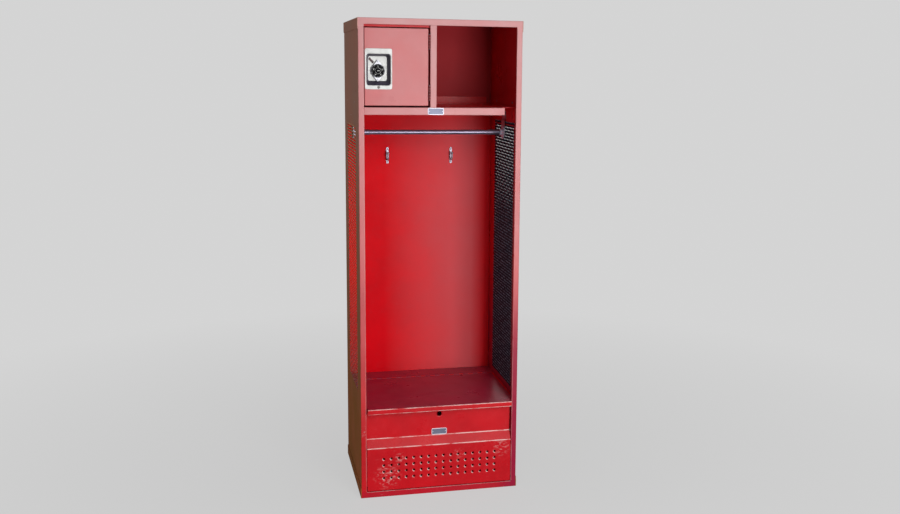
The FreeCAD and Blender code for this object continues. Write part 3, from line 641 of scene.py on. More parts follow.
class Effects:
    """Effects that several finishes share, each a node group built once."""

    def __init__(self) -> None:
        """Build every effect."""
        self.tone = self.make_tone()
        self.edge_wear = self.make_edge_wear()
        self.scuffs = self.make_scuffs()
        self.dust = self.make_dust()
        self.ripple = self.make_ripple()
        self.brushed = self.make_brushed()

    @staticmethod
    def start(name: str, inputs: dict[str, Kind], output: str, kind: Kind) -> tuple[Graph, Any, Node]:
        """Start an effect.

        Args:
            name: Name of the effect.
            inputs: Kind of each named input.
            output: Name of the outcome.
            kind: Kind of the outcome.

        Returns:
            The graph, the inputs' sockets and the node that takes the outcome.
        """
        tree = bpy.data.node_groups.new(name, "ShaderNodeTree")
        for label, each in inputs.items():
            tree.interface.new_socket(label, in_out="INPUT", socket_type=each.value)
        tree.interface.new_socket(output, in_out="OUTPUT", socket_type=kind.value)
        graph = Graph(tree)
        return graph, graph.add("NodeGroupInput").outputs, graph.add("NodeGroupOutput")

    def make_tone(self) -> Tree:
        """Colour that drifts.

        Returns:
            A base, cloudy darker patches and finer paler specks.
        """
        inputs = {"Place": Kind.VECTOR, "Base": Kind.COLOUR, "Deep": Kind.COLOUR, "Pale": Kind.COLOUR}
        inputs["Size"] = Kind.VALUE
        graph, given, taken = self.start("drifting_tone", inputs, "Colour", Kind.COLOUR)
        where, size = given["Place"], given["Size"]
        patches = graph.span(graph.noise(where, size, 4.0), 0.38, 0.72)
        specks = graph.span(graph.noise(where, graph.product(size, 9.0)), 0.52, 0.80, 0.0, 0.4)
        colour = graph.blend(patches, given["Base"], given["Deep"])
        graph.feed(taken, {"Colour": graph.blend(specks, colour, given["Pale"])})
        return graph.tree

    def make_edge_wear(self) -> Tree:
        """Mask of rubbed edges.

        Returns:
            Where the rounded normal leaves the true one, broken by noise.
        """
        inputs = {"Place": Kind.VECTOR, "Width": Kind.VALUE, "Amount": Kind.VALUE}
        graph, given, taken = self.start("edge_wear", inputs, "Mask", Kind.VALUE)
        true_normal = graph.add("ShaderNodeNewGeometry").outputs["Normal"]
        normals = {0: graph.rounding(given["Width"]), 1: true_normal}
        along = graph.add("ShaderNodeVectorMath", normals, operation="DOT_PRODUCT").outputs["Value"]
        edge = graph.span(graph.sum("SUBTRACT", 1.0, along), 0.02, 0.16)
        broken = graph.span(graph.noise(given["Place"], 46.0, 5.0), 0.42, 0.62)
        graph.feed(taken, {"Mask": graph.product(edge, broken, given["Amount"])})
        return graph.tree

    def make_scuffs(self) -> Tree:
        """Mask of rubbed streaks.

        Returns:
            Long thin noise at two slants, where clouds are high too.
        """
        inputs = {"Place": Kind.VECTOR, "Amount": Kind.VALUE}
        graph, given, taken = self.start("scuffs", inputs, "Mask", Kind.VALUE)
        where = given["Place"]
        one = graph.noise(graph.stretched(where, (160.0, 160.0, 14.0), (0.0, 0.5, 0.2)), 1.0)
        two = graph.noise(graph.stretched(where, (22.0, 22.0, 190.0), (0.1, 0.3, 0.0)), 1.0)
        streaks = graph.span(graph.largest(one, two), 0.66, 0.80)
        patches = graph.span(graph.noise(where, 7.0), 0.50, 0.66)
        graph.feed(taken, {"Mask": graph.product(streaks, patches, given["Amount"])})
        return graph.tree

    def make_dust(self) -> Tree:
        """Mask of settled dust.

        Returns:
            Faces that look up, broken by noise.
        """
        inputs = {"Place": Kind.VECTOR, "Amount": Kind.VALUE}
        graph, given, taken = self.start("settled_dust", inputs, "Mask", Kind.VALUE)
        up = graph.parts(graph.add("ShaderNodeNewGeometry").outputs["Normal"])[2]
        lying = graph.span(up, 0.55, 0.95)
        patches = graph.span(graph.noise(given["Place"], 14.0, 5.0), 0.35, 0.70, 0.25, 1.0)
        graph.feed(taken, {"Mask": graph.product(lying, patches, given["Amount"])})
        return graph.tree

    def make_ripple(self) -> Tree:
        """Height in metres.

        Returns:
            Slow waves of sheet steel, dents, and the fine skin of sprayed paint.
        """
        inputs = {"Place": Kind.VECTOR, "Waves": Kind.VALUE, "Skin": Kind.VALUE}
        graph, given, taken = self.start("sheet_ripple", inputs, "Height", Kind.VALUE)
        where = given["Place"]
        waves = graph.product(graph.noise(where, 3.2, 1.0), given["Waves"])
        dents = graph.product(graph.noise(where, 24.0, 2.0), DENT_HEIGHT)
        skin = graph.product(graph.noise(where, 430.0, 2.0), given["Skin"])
        graph.feed(taken, {"Height": graph.sum("ADD", waves, graph.sum("ADD", dents, skin))})
        return graph.tree

    def make_brushed(self) -> Tree:
        """Fine lines along one direction.

        Returns:
            Noise on coordinates that the finish has stretched.
        """
        graph, given, taken = self.start("brushed_lines", {"Stretched": Kind.VECTOR}, "Lines", Kind.VALUE)
        where = given["Stretched"]
        fine = graph.product(graph.noise(where, 1.0, 4.0), 0.65)
        broad = graph.product(graph.noise(where, 0.23, 2.0), 0.35)
        graph.feed(taken, {"Lines": graph.sum("ADD", fine, broad)})
        return graph.tree


class Surface(Graph):
    """The node tree of a new material."""

    def __init__(self, name: str) -> None:
        """Start the material under that name."""
        self.material = bpy.data.materials.new(name)
        self.material.use_nodes = True
        super().__init__(self.material.node_tree)
        self.shader = self.tree.nodes["Principled BSDF"]

    def finish(self, colour: Any, rough: Any, height: Any, edge: float, others: dict[str, Any]) -> Material:
        """Join everything to the shader.

        Args:
            colour: Base colour.
            rough: Roughness.
            height: Height of the relief in metres.
            edge: Radius in metres that edges are rounded by.
            others: More inputs of the shader.

        Returns:
            The material.
        """
        inputs = {"Height": height, "Normal": self.rounding(edge), "Strength": 1.0, "Distance": 1.0}
        normal = self.add("ShaderNodeBump", inputs).outputs["Normal"]
        self.feed(self.shader, {"Base Color": colour, "Roughness": rough, "Normal": normal, **others})
        return self.material


# pink of the painted sheen, a reflection of the lamps on the upper front
SHEEN_PINK: Colour = (0.58, 0.31, 0.31)
# pink of the painted reflection of the lamps on the back
REFLECTION_PINK: Colour = (0.72, 0.120, 0.135)
# dark red of the painted shade on the back above the shelf
SHADED: Colour = (0.30, 0.030, 0.036)
# purple of the painted shade low on the right and along the foot
SHADE_PURPLE: Colour = (0.27, 0.008, 0.045)
DUST: Colour = (0.42, 0.34, 0.32)
ENAMEL_IOR = 1.52
RUBBED_ROUGH = 0.10
STAINED_ROUGH = 0.25
OUTER_ROUGH = 0.85

# Heights of relief and radii of rounding, in metres
DENT_HEIGHT = 0.00005
PAINT_SKIN = 0.000004
WORN_EDGE = 0.0009
SHEET_EDGE = 0.0010
METAL_EDGE = 0.0004
PAINT_EDGE = 0.0004
SMALL_EDGE = 0.0003

# Where masks of painted light and shade, and of the outer brown, start and end, in metres: depths of faces,
# places across, heights
FRONT_RIM: Pair = (-0.2392, -0.2386)
FRONT_FACE: Pair = (-0.2386, -0.2384)
BACK_SKIN: Pair = (0.2545, 0.2550)
OUTER_FACE: Pair = (0.3044, 0.3048)
REFLECTION_ACROSS: Pair = (-0.15, 0.19)
REFLECTION_CORNER: Pair = (0.225, 0.285)
SHADE_ACROSS: Pair = (0.20, 0.29)
BELOW_SHELF: Pair = (1.36, 1.50)
ABOVE_SHELF: Pair = (1.47, 1.50)
SHEEN_RISE: Pair = (0.25, 1.80)
OUTER_BROWN_RISE: Pair = (0.3, 1.5)
SHADE_RISE: Pair = (0.55, 0.85)
FOOT_SHADE_RISE: Pair = (0.022, 0.028)


@dataclass(frozen=True)
class Rub:
    """A place where paint is rubbed pale."""

    centre: Triple
    reach: float


@dataclass(frozen=True)
class EdgeLine:
    """A straight edge of the front with a painted highlight along it."""

    axis: int  # 0 across or 2 up
    at: float  # on either side of the middle
    half: float
    share: float  # how strong its painted highlight is
    reach: Pair  # of the other coordinate


@dataclass(frozen=True)
class Enamel:
    """Sprayed enamel on sheet steel, with its age, and with painted light and shade."""

    name: str
    base: Colour
    deep: Colour  # darker patches
    pale: Colour  # paler specks
    # colour of worn paint and of painted highlights
    worn: Colour = (0.70, 0.40, 0.39)
    roughness: Pair = (0.26, 0.34)  # lowest and highest
    tone_size: float = 5.0  # patches per metre
    wear: float = 0.35
    scuff: float = 0.10
    dust: float = 0.06
    waves: float = 0.0010
    rubs: tuple[Rub, ...] = ()
    # painted highlights along straight edges
    lines: tuple[EdgeLine, ...] = ()
    aged: tuple[Colour, Colour] | None = None  # brown of the outer side faces, low and high: darker low, paler high, the paler top a painted reflection
    chalk: float = 0.0  # painted sheen of the upper front, a reflection of the lamps
    haze: float = 0.0  # painted reflection of the lamps on the back, and painted shade above the shelf
    gloss: float = 0.5

    def material(self, effects: Effects) -> Material:
        """Build the finish.

        Args:
            effects: The shared effects.

        Returns:
            The material.
        """
        graph = Surface(self.name)
        where = graph.place()
        colours = {"Base": self.base, "Deep": self.deep, "Pale": self.pale}
        colour = graph.group(effects.tone, Place=where, Size=self.tone_size, **colours)
        least_rough: Any = 0.0
        # painted sheen: a reflection of the lamps on the upper front
        if self.chalk:
            colour = graph.blend(self.chalked(graph, where), colour, SHEEN_PINK)
        # painted reflection of the lamps on the back, and painted shade above the shelf
        if self.haze:
            reflection, shaded = self.hazed(graph, where)
            colour = graph.blend(shaded, graph.blend(reflection, colour, REFLECTION_PINK), SHADED)
        if self.aged:
            # painted shade, purple, low on the right and along the foot
            colour = graph.blend(self.dusky(graph, where), colour, SHADE_PURPLE)
            # outer side faces brown, darker low and paler high; the paler top is a painted reflection
            brown = graph.blend(graph.span(graph.parts(where)[2], *OUTER_BROWN_RISE), *self.aged)
            outside = self.outside(graph, where)
            colour = graph.blend(outside, colour, brown)
            least_rough = graph.product(outside, OUTER_ROUGH)
        # rubbed paint, and painted highlights on edges, folds, vents and strands
        rubbed = self.worn_places(graph, where, effects)
        colour = graph.blend(rubbed, colour, self.worn)
        dusty = graph.group(effects.dust, Place=where, Amount=self.dust)
        rough = graph.clouds(where, 11.0, *self.roughness)
        rough = graph.sum("ADD", rough, graph.product(graph.sum("ADD", rubbed, dusty), RUBBED_ROUGH))
        rough = graph.largest(rough, least_rough)
        height = graph.group(effects.ripple, Place=where, Waves=self.waves, Skin=PAINT_SKIN)
        others = {"IOR": ENAMEL_IOR, "Specular IOR Level": self.gloss}
        return graph.finish(graph.blend(dusty, colour, DUST), rough, height, SHEET_EDGE, others)

    def worn_places(self, graph: Graph, where: Any, effects: Effects) -> Socket:
        """Mask of all rubbed paint and painted highlights.

        Args:
            graph: The material's graph.
            where: Socket with the place.
            effects: The shared effects.

        Returns:
            The largest of edge wear, the mesh's own wear and painted highlights broken by noise,
            scuffs, rubs and the painted edge highlights.
        """
        edge = graph.group(effects.edge_wear, Place=where, Width=WORN_EDGE, Amount=self.wear)
        own = graph.add("ShaderNodeAttribute", attribute_name="wear").outputs["Fac"]
        broken = graph.span(graph.noise(graph.stretched(where, (26.0, 60.0, 60.0)), 1.0, 5.0), 0.36, 0.62)
        scuffed = graph.group(effects.scuffs, Place=where, Amount=self.scuff)
        rubs = [self.rubbed(graph, where, rub) for rub in self.rubs]
        lines = [self.lined(graph, where, line) for line in self.lines]
        return graph.largest(edge, graph.product(own, broken), scuffed, *rubs, *lines)

    def hazed(self, graph: Graph, where: Any) -> tuple[Socket, Socket]:
        """Masks of the back's inner face.

        Args:
            graph: The material's graph.
            where: Socket with the place.

        Returns:
            The painted reflection of the lamps, growing to the right and gone at the corner in the
            painted shadow of the right side, and the painted shade above the shelf.
        """
        aside, depth, height = graph.parts(where)
        inner = graph.span(depth, *BACK_SKIN, 1.0, 0.0)
        grown_over = graph.span(aside, *REFLECTION_ACROSS, 0.0, self.haze)
        corner = graph.span(aside, *REFLECTION_CORNER, 1.0, 0.12)
        below = graph.span(height, *BELOW_SHELF, 1.0, 0.0)
        reflection = graph.product(grown_over, corner, below, graph.clouds(where, 5.0, 0.80, 1.0), inner)
        return reflection, graph.product(graph.span(height, *ABOVE_SHELF, 0.0, self.haze), inner)

    @staticmethod
    def outside(graph: Graph, where: Any) -> Socket:
        """Mask of the outermost faces, in clouds: as far from the middle as the half width."""
        aside = graph.sum("ABSOLUTE", graph.parts(where)[0])
        return graph.product(graph.span(aside, *OUTER_FACE), graph.clouds(where, 4.0, 0.75, 1.0, 5.0))

    def chalked(self, graph: Graph, where: Any) -> Socket:
        """Mask of the painted sheen, a reflection of the lamps: faces at the very front, growing with
        height, in clouds.
        """
        _, depth, height = graph.parts(where)
        front = graph.span(depth, *FRONT_FACE, 1.0, 0.0)
        high = graph.span(height, *SHEEN_RISE, 0.02, self.chalk)
        return graph.product(front, high, graph.clouds(where, 6.0, 0.75, 1.0))

    @staticmethod
    def lined(graph: Graph, where: Any, line: EdgeLine) -> Socket:
        """Mask of one edge's painted highlight.

        Args:
            graph: The material's graph.
            where: Socket with the place.
            line: The edge.

        Returns:
            A band about the edge's coordinate, within its reach, on the front, broken by noise.
        """
        parts = graph.parts(where)
        off = graph.sum("SUBTRACT", graph.sum("ABSOLUTE", parts[line.axis]), line.at)
        near = graph.span(graph.sum("ABSOLUTE", off), 0.6 * line.half, line.half, line.share, 0.0)
        other = graph.sum("ABSOLUTE", parts[2 - line.axis])
        start, end = line.reach
        within = graph.product(graph.sum("GREATER_THAN", other, start), graph.sum("LESS_THAN", other, end))
        broken = graph.span(graph.noise(where, 18.0, 5.0), 0.35, 0.60, 0.3, 1.0)
        return graph.product(near, within, graph.span(parts[1], *FRONT_RIM, 1.0, 0.0), broken)

    @staticmethod
    def dusky(graph: Graph, where: Any) -> Socket:
        """Mask of the purplish painted shade low on the right, and along the foot."""
        aside, _, height = graph.parts(where)
        low = graph.product(graph.span(aside, *SHADE_ACROSS), graph.span(height, *SHADE_RISE, 0.8, 0.0))
        return graph.largest(low, graph.span(height, *FOOT_SHADE_RISE, 0.25, 0.0))

    @staticmethod
    def rubbed(graph: Graph, where: Any, rub: Rub) -> Socket:
        """Mask of one rubbed place: near its middle, and broken into streaks."""
        near = graph.span(graph.far(where, rub.centre), 0.35 * rub.reach, rub.reach, 1.0, 0.0)
        streaks = graph.noise(graph.stretched(where, (70.0, 70.0, 130.0), (0.0, 0.6, 0.0)), 1.0, 5.0)
        return graph.product(near, graph.span(streaks, 0.50, 0.68, 0.0, 0.45))


@dataclass(frozen=True)
class Metal:
    """Bare or plated metal."""

    name: str
    colour: Colour
    dull: Colour  # tarnished patches
    roughness: Pair
    grain: Triple = (900.0, 900.0, 900.0)  # lines to a metre along each axis
    relief: float = 0.000002
    tarnish: float = 0.35
    metallic: float = 1.0  # the rest is a satin film

    def material(self, effects: Effects) -> Material:
        """Build the finish.

        Args:
            effects: The shared effects.

        Returns:
            The material.
        """
        graph = Surface(self.name)
        where = graph.place()
        colours = {"Base": self.colour, "Deep": self.dull, "Pale": self.colour}
        tone = graph.group(effects.tone, Place=where, Size=26.0, **colours)
        lines = graph.group(effects.brushed, Stretched=graph.stretched(where, self.grain))
        stained = graph.span(graph.noise(where, 60.0, 5.0), 0.52, 0.74, 0.0, self.tarnish)
        scuffed = graph.group(effects.scuffs, Place=where, Amount=0.5)
        rough = graph.span(lines, 0.25, 0.75, *self.roughness)
        rough = graph.sum("ADD", rough, graph.product(graph.sum("ADD", stained, scuffed), STAINED_ROUGH))
        colour, height = graph.blend(stained, tone, self.dull), graph.product(lines, self.relief)
        return graph.finish(colour, rough, height, METAL_EDGE, {"Metallic": self.metallic})


@dataclass(frozen=True)
class Paint:
    """Thin paint or moulded plastic on small pieces."""

    name: str
    base: Colour
    deep: Colour
    pale: Colour  # rubbed edges too
    roughness: Pair = (0.32, 0.48)
    wear: float = 0.4
    gloss: float = 0.5

    def material(self, effects: Effects) -> Material:
        """Build the finish.

        Args:
            effects: The shared effects.

        Returns:
            The material.
        """
        graph = Surface(self.name)
        where = graph.place()
        colours = {"Base": self.base, "Deep": self.deep, "Pale": self.pale}
        tone = graph.group(effects.tone, Place=where, Size=70.0, **colours)
        edge = graph.group(effects.edge_wear, Place=where, Width=PAINT_EDGE, Amount=self.wear)
        height = graph.group(effects.ripple, Place=where, Waves=0.0, Skin=PAINT_SKIN)
        colour, rough = graph.blend(edge, tone, self.pale), graph.clouds(where, 90.0, *self.roughness)
        return graph.finish(colour, rough, height, SMALL_EDGE, {"Specular IOR Level": self.gloss})


RED = Enamel("red_enamel", (0.60, 0.005, 0.012), (0.48, 0.004, 0.010), (0.62, 0.016, 0.024), gloss=0.22)
VENTED_RUBS = (
    Rub((-0.205, -0.241, 0.082), 0.060),
    Rub((-0.155, -0.241, 0.152), 0.026),
    Rub((0.075, -0.241, 0.155), 0.024),
    Rub((0.245, -0.241, 0.165), 0.040),
)
# painted highlights on the uprights' inner edges, the foot rail's top edge and the cap's seam
SHELL_EDGE_HIGHLIGHTS = (
    EdgeLine(0, 0.2855, 0.0022, 0.30, (0.026, 1.787)),
    EdgeLine(2, 0.0235, 0.0020, 0.90, (-1.0, 0.284)),
    EdgeLine(2, 1.7812, 0.0014, 0.60, (0.284, 1.0)),
)
UPRIGHT_RUBS = (Rub((-0.286, -0.241, 0.265), 0.030), Rub((-0.225, -0.241, 0.006), 0.010))


class Finishes:
    """Every finish of the locker, built once."""

    def __init__(self, effects: Effects) -> None:
        """Build them all.

        Args:
            effects: The shared effects.
        """
        self.effects = effects
        self.paint_sheets()
        self.plate_metal()
        self.colour_small_parts()

    def made(self, finish: Enamel | Metal | Paint) -> Material:
        """Return the finish's material."""
        return finish.material(self.effects)

    def enamel(self, name: str, **changes: Any) -> Material:
        """Return the red enamel under its own name, with the given changes."""
        return self.made(replace(RED, name=name, **changes))

    def paint_sheets(self) -> None:
        """Build the enamels of the sheets."""
        aged = ((0.27, 0.110, 0.012), (0.46, 0.26, 0.20))
        worn = {"rubs": UPRIGHT_RUBS, "lines": SHELL_EDGE_HIGHLIGHTS}
        self.shell = self.enamel("shell_enamel", aged=aged, chalk=1.0, **worn)
        self.door = self.enamel("door_enamel", chalk=0.66)
        # pale edges of the lid hinge's knuckles: painted highlights
        self.hinge = self.enamel("hinge_enamel", worn=(0.85, 0.36, 0.33), wear=1.5)
        self.knuckle = self.enamel("knuckle_enamel", base=(0.17, 0.03, 0.03), deep=(0.08, 0.012, 0.014))
        dull = {"roughness": (0.28, 0.38), "wear": 0.15, "scuff": 0.03, "gloss": 0.02}
        # the inside's red, brighter than the red outside: painted light
        bright = {"base": (0.78, 0.003, 0.010), "deep": (0.64, 0.004, 0.010)}
        self.inside = self.enamel("inside_enamel", haze=0.85, **bright, **dull)
        self.front = self.enamel("front_enamel", worn=(0.80, 0.52, 0.50), scuff=0.15, rubs=VENTED_RUBS)
        # the seat's red drawn darker and purple: painted shade and painted reflection
        plum = {"base": (0.36, 0.010, 0.048), "deep": (0.28, 0.008, 0.040), "pale": (0.33, 0.02, 0.05)}
        self.seat = self.enamel("seat_enamel", dust=0.08, scuff=0.0, gloss=0.45, **plum)
        # the mesh's own faces: dark, their upper edges orange as painted highlights
        orange = {"base": (0.13, 0.020, 0.008), "deep": (0.08, 0.014, 0.006), "worn": (0.72, 0.20, 0.07)}
        self.mesh = self.enamel("mesh_enamel", wear=0.3, **orange)
        # the strands' inner faces: a dark painted shade, their edges pale blue as painted highlights
        shade_colours = {"base": (0.012, 0.026, 0.046), "deep": (0.006, 0.012, 0.026), "pale": (0.20, 0.27, 0.42)}
        matt = {"roughness": (0.6, 0.8), "waves": 0.0, "gloss": 0.04, "tone_size": 45.0}
        self.mesh_inside = self.enamel("mesh_painted_shade", worn=(0.30, 0.48, 0.62), wear=0.8, **shade_colours, **matt)

    def plate_metal(self) -> None:
        """Build the plated and bare metals."""
        zinc = Metal("zinc_plate", (0.44, 0.42, 0.50), (0.32, 0.30, 0.37), (0.36, 0.50), metallic=0.7)
        chrome = Metal("chrome", (0.27, 0.24, 0.33), (0.20, 0.18, 0.26), (0.30, 0.40), metallic=0.7)
        cast = Metal("cast_silver", (0.50, 0.50, 0.54), (0.40, 0.40, 0.44), (0.28, 0.40), metallic=0.5)
        brushed = {"grain": (2500.0, 900.0, 60.0), "metallic": 0.45}
        steel = Metal("stainless", (0.46, 0.46, 0.45), (0.37, 0.37, 0.36), (0.34, 0.46), **brushed)
        # dark walls of the lock's pocket: painted shade in the recess
        wall = replace(steel, name="pocket_wall", colour=(0.10, 0.08, 0.13), dull=(0.07, 0.06, 0.09))
        satin = Metal("satin_plate", (0.80, 0.80, 0.90), (0.70, 0.70, 0.80), (0.34, 0.46), metallic=0.3)
        sunk = replace(satin, name="satin_middle", colour=(0.17, 0.18, 0.26), dull=(0.13, 0.14, 0.21))
        brass = Metal("key_brass", (0.12, 0.11, 0.10), (0.07, 0.06, 0.06), (0.34, 0.48))
        plated, bare = (zinc, chrome, cast, satin, sunk), (steel, wall, brass)
        self.zinc, self.chrome, self.cast, self.satin, self.sunk = map(self.made, plated)
        self.stainless, self.pocket_wall, self.brass = map(self.made, bare)

    def colour_small_parts(self) -> None:
        """Build the paints of the rod's cups, the dial, the lever and the lock's case."""
        # pale bluish paint on the rod's cups: a painted reflection of light from the front
        cup = Paint("cup_painted_sheen", (0.66, 0.67, 0.82), (0.52, 0.53, 0.70), (0.80, 0.80, 0.88), wear=1.0)
        black = Paint("dial_black", (0.010, 0.010, 0.012), (0.006, 0.006, 0.007), (0.05, 0.05, 0.05))
        white = Paint("mark_white", (0.78, 0.78, 0.76), (0.70, 0.70, 0.67), (0.80, 0.80, 0.78))
        lever = Paint("lever_paint", (0.075, 0.020, 0.028), (0.045, 0.014, 0.020), (0.20, 0.10, 0.11))
        body = Paint("lock_body", (0.20, 0.20, 0.21), (0.15, 0.15, 0.16), (0.30, 0.30, 0.30))
        paints = (cup, replace(black, gloss=0.02), white, lever, body)
        self.cup, self.dial, self.marks, self.lever, self.lock_body = map(self.made, paints)


@dataclass
class SubAssembly:
    """A group of pieces that are built together."""

    finishes: Finishes

    def build(self) -> None:
        """Place the pieces that are drawn anew, and dress the others."""
        raise NotImplementedError


@dataclass
class Cabinet(SubAssembly):
    """The sheet-steel shell, shown as built, and its round-headed bolts."""

    inner_half: float = 303.5
    outer_half: float = 305.0
    head_radius: float = 5.5
    head_high: float = 2.2
    shank: float = 2.9  # radius
    shelf_bolts: tuple[Pair, ...] = ((-111.0, 1506.0), (139.0, 1506.0))  # depths and heights
    bracket_bolts: tuple[Pair, ...] = ((4.0, 1453.3), (34.0, 1453.3))
    shelf_grip: float = 1.5  # heads inside the inner face
    bracket_grip: float = 2.0

    def bolts(self, places: Sequence[Pair], grip: float) -> list[Skin]:
        """Round-headed bolts through both sides.

        Args:
            places: Depth and height of each bolt.
            grip: How far inside the inner face the heads sit.

        Returns:
            One surface for each side: a dome turned about X, then the shank out to the sheet's face.
        """
        seat = self.inner_half - grip
        head = dome_profile(self.head_radius, self.head_high)[1:]
        dome = [(radius, seat - high) for radius, high in reversed(head)]
        profile = [*dome, (self.shank, seat), (self.shank, self.outer_half)]
        bolts = turned(profile, ORIGIN, Axis.X, 20).at([(0.0, y, z) for y, z in places])
        return [bolts.mirrored(side) for side in Side]

    def build(self) -> None:
        """Dress the shell and place its bolts."""
        dress(["top_cap", "bottom_pan", "left_side_panel", "right_side_panel"], self.finishes.shell)
        dress(["upper_shelf", "divider", "door_header", "front_clips"], self.finishes.shell)
        dress(["back_panel", "left_seat_ledge", "right_seat_ledge"], self.finishes.inside)
        dress(["latch_strike"], self.finishes.zinc)
        zinc = [self.finishes.zinc]
        shelf = self.bolts(self.shelf_bolts, self.shelf_grip)
        place("round_shelf_bolts", shelf, zinc, Body.CABINET, Slot.ZINC, ["shelf_bolts"])
        bracket = self.bolts(self.bracket_bolts, self.bracket_grip)
        place("round_bracket_bolts", bracket, zinc, Body.CABINET, Slot.ZINC, ["bracket_bolts"])


@dataclass
class MeshSides(SubAssembly):
    """Raised expanded metal behind both side windows."""

    middle: float = 303.4  # of the strands
    lap_middle: float = 302.2  # of the strands in the lap
    front: float = -151.0
    back: float = 167.0
    low: float = 382.0
    high: float = 1431.0
    lap: float = 15.0  # behind the window's edge
    long_way: float = 50.8  # of a diamond, along the depth
    short_way: float = 23.4  # of a diamond
    bond: float = 9.0  # length of a joint
    strand_wide: float = 10.4
    strand_thick: float = 1.3
    tilt: float = 28.0  # degrees that a strand leans out
    lap_press: float = 0.30  # share of the tilt in the lap
    # painted highlight at the lower and upper corners; under 0 keeps it near the upper edge
    strand_wear: tuple[float, ...] = (-1.4, -1.4, 1.6, 1.6)
    # faces free of the painted shade: lower, outer, upper, inner
    clean_faces: dict[Side, int] = field(default_factory=lambda: {Side.LEFT: 3, Side.RIGHT: 2})

    def depths(self) -> np.ndarray:
        """Where the strands bend.

        Returns:
            Both ends of every bond, and the sheet's ends.
        """
        half = self.long_way / 2.0
        bonds = np.arange(self.front - half, self.back + half, half)
        ends = np.concatenate([bonds - self.bond / 2.0, bonds + self.bond / 2.0])
        inside = ends[(ends > self.front) & (ends < self.back)]
        return np.sort(np.concatenate([inside, [self.front, self.back]]))

    def strands(self) -> Skin:
        """Strands of the right sheet.

        Returns:
            Strand k at low + (k + 1/2)·short/2, swung by a trapezoid wave of the depth, every other one
            the opposite way, so that neighbours meet along each bond. Its section is a slanted rectangle.
        """
        depth = self.depths()
        count = int((self.high - self.low) // (self.short_way / 2.0))
        level = self.low + (np.arange(count) + 0.5) * (self.high - self.low) / count
        lean = math.radians(self.tilt)
        flat = np.array([(-0.5, -0.5), (0.5, -0.5), (0.5, 0.5), (-0.5, 0.5)])
        flat = flat * np.array([self.strand_thick, self.strand_wide])
        aside = flat[:, 0] * math.cos(lean) + flat[:, 1] * math.sin(lean)
        rise = flat[:, 1] * math.cos(lean) - flat[:, 0] * math.sin(lean)
        half = self.long_way / 2.0
        place = np.abs(np.mod(depth - self.front + half / 2.0, 2.0 * half) / half - 1.0)
        slope = 1.0 - self.bond / half
        wave = np.clip((2.0 * place - 1.0) / slope, -1.0, 1.0)
        swing = (level[1] - level[0]) / 2.0 - np.ptp(rise) / 2.0
        sign = np.where(np.arange(count) % 2, -1.0, 1.0)
        height = level[:, None] + swing * sign[:, None] * wave[None]
        behind = (depth < self.front + self.lap) | (depth > self.back - self.lap)
        above = (level < self.low + self.lap) | (level > self.high - self.lap)
        lapped = (behind[None] | above[:, None])[..., None]
        middle = np.where(lapped, self.lap_middle, self.middle)
        across = middle + np.where(lapped, self.lap_press, 1.0) * aside
        points = stacked(across, depth[None, :, None], height[..., None] + rise)
        wear = np.tile(self.strand_wear, count * len(depth))
        return replace(grid(points, around=True, ends=True), wear=wear).outward()

    def build(self) -> None:
        """Place both sheets, the strands' inner faces in a painted shade."""
        sheet = self.strands()
        faces = sheet.quads.reshape(-1, 4, 4)
        paints = [self.finishes.mesh, self.finishes.mesh_inside]
        for side, unshaded in self.clean_faces.items():
            name = side.name.lower()
            outer = replace(sheet, quads=faces[:, :unshaded].reshape(-1, 4))
            inner = replace(sheet, quads=faces[:, unshaded:].reshape(-1, 4), caps=[], paint=1)
            skins = [outer.mirrored(side), inner.mirrored(side)]
            place(name + "_expanded_metal", skins, paints, Body.CABINET, Slot.RED, [name + "_mesh"])


def run_lengths(line: np.ndarray) -> np.ndarray:
    """Return how far along a line each of its points lies."""
    return np.concatenate([[0.0], np.cumsum(np.linalg.norm(np.diff(line, axis=0), axis=1))])


def finer(line: np.ndarray, stops: np.ndarray) -> np.ndarray:
    """Return the line with more points at the given lengths along it."""
    length = run_lengths(line)
    every = np.unique(np.concatenate([length, stops]).round(6))
    return np.column_stack([np.interp(every, length, line[:, axis]) for axis in range(line.shape[1])])


def beside_bends(line: np.ndarray, steps: int, support: Sequence[float]) -> np.ndarray:
    """Stops beside the bends of a rounded line.

    Args:
        line: The rounded line.
        steps: Pieces in each of its arcs.
        support: Distances from an arc.

    Returns:
        Lengths along the line, those distances before and after each arc.
    """
    arcs = run_lengths(line)[1:-1].reshape(-1, steps + 1)
    away = np.asarray(support)
    return np.concatenate([(arcs[:, :1] - away).ravel(), (arcs[:, -1:] + away).ravel()])


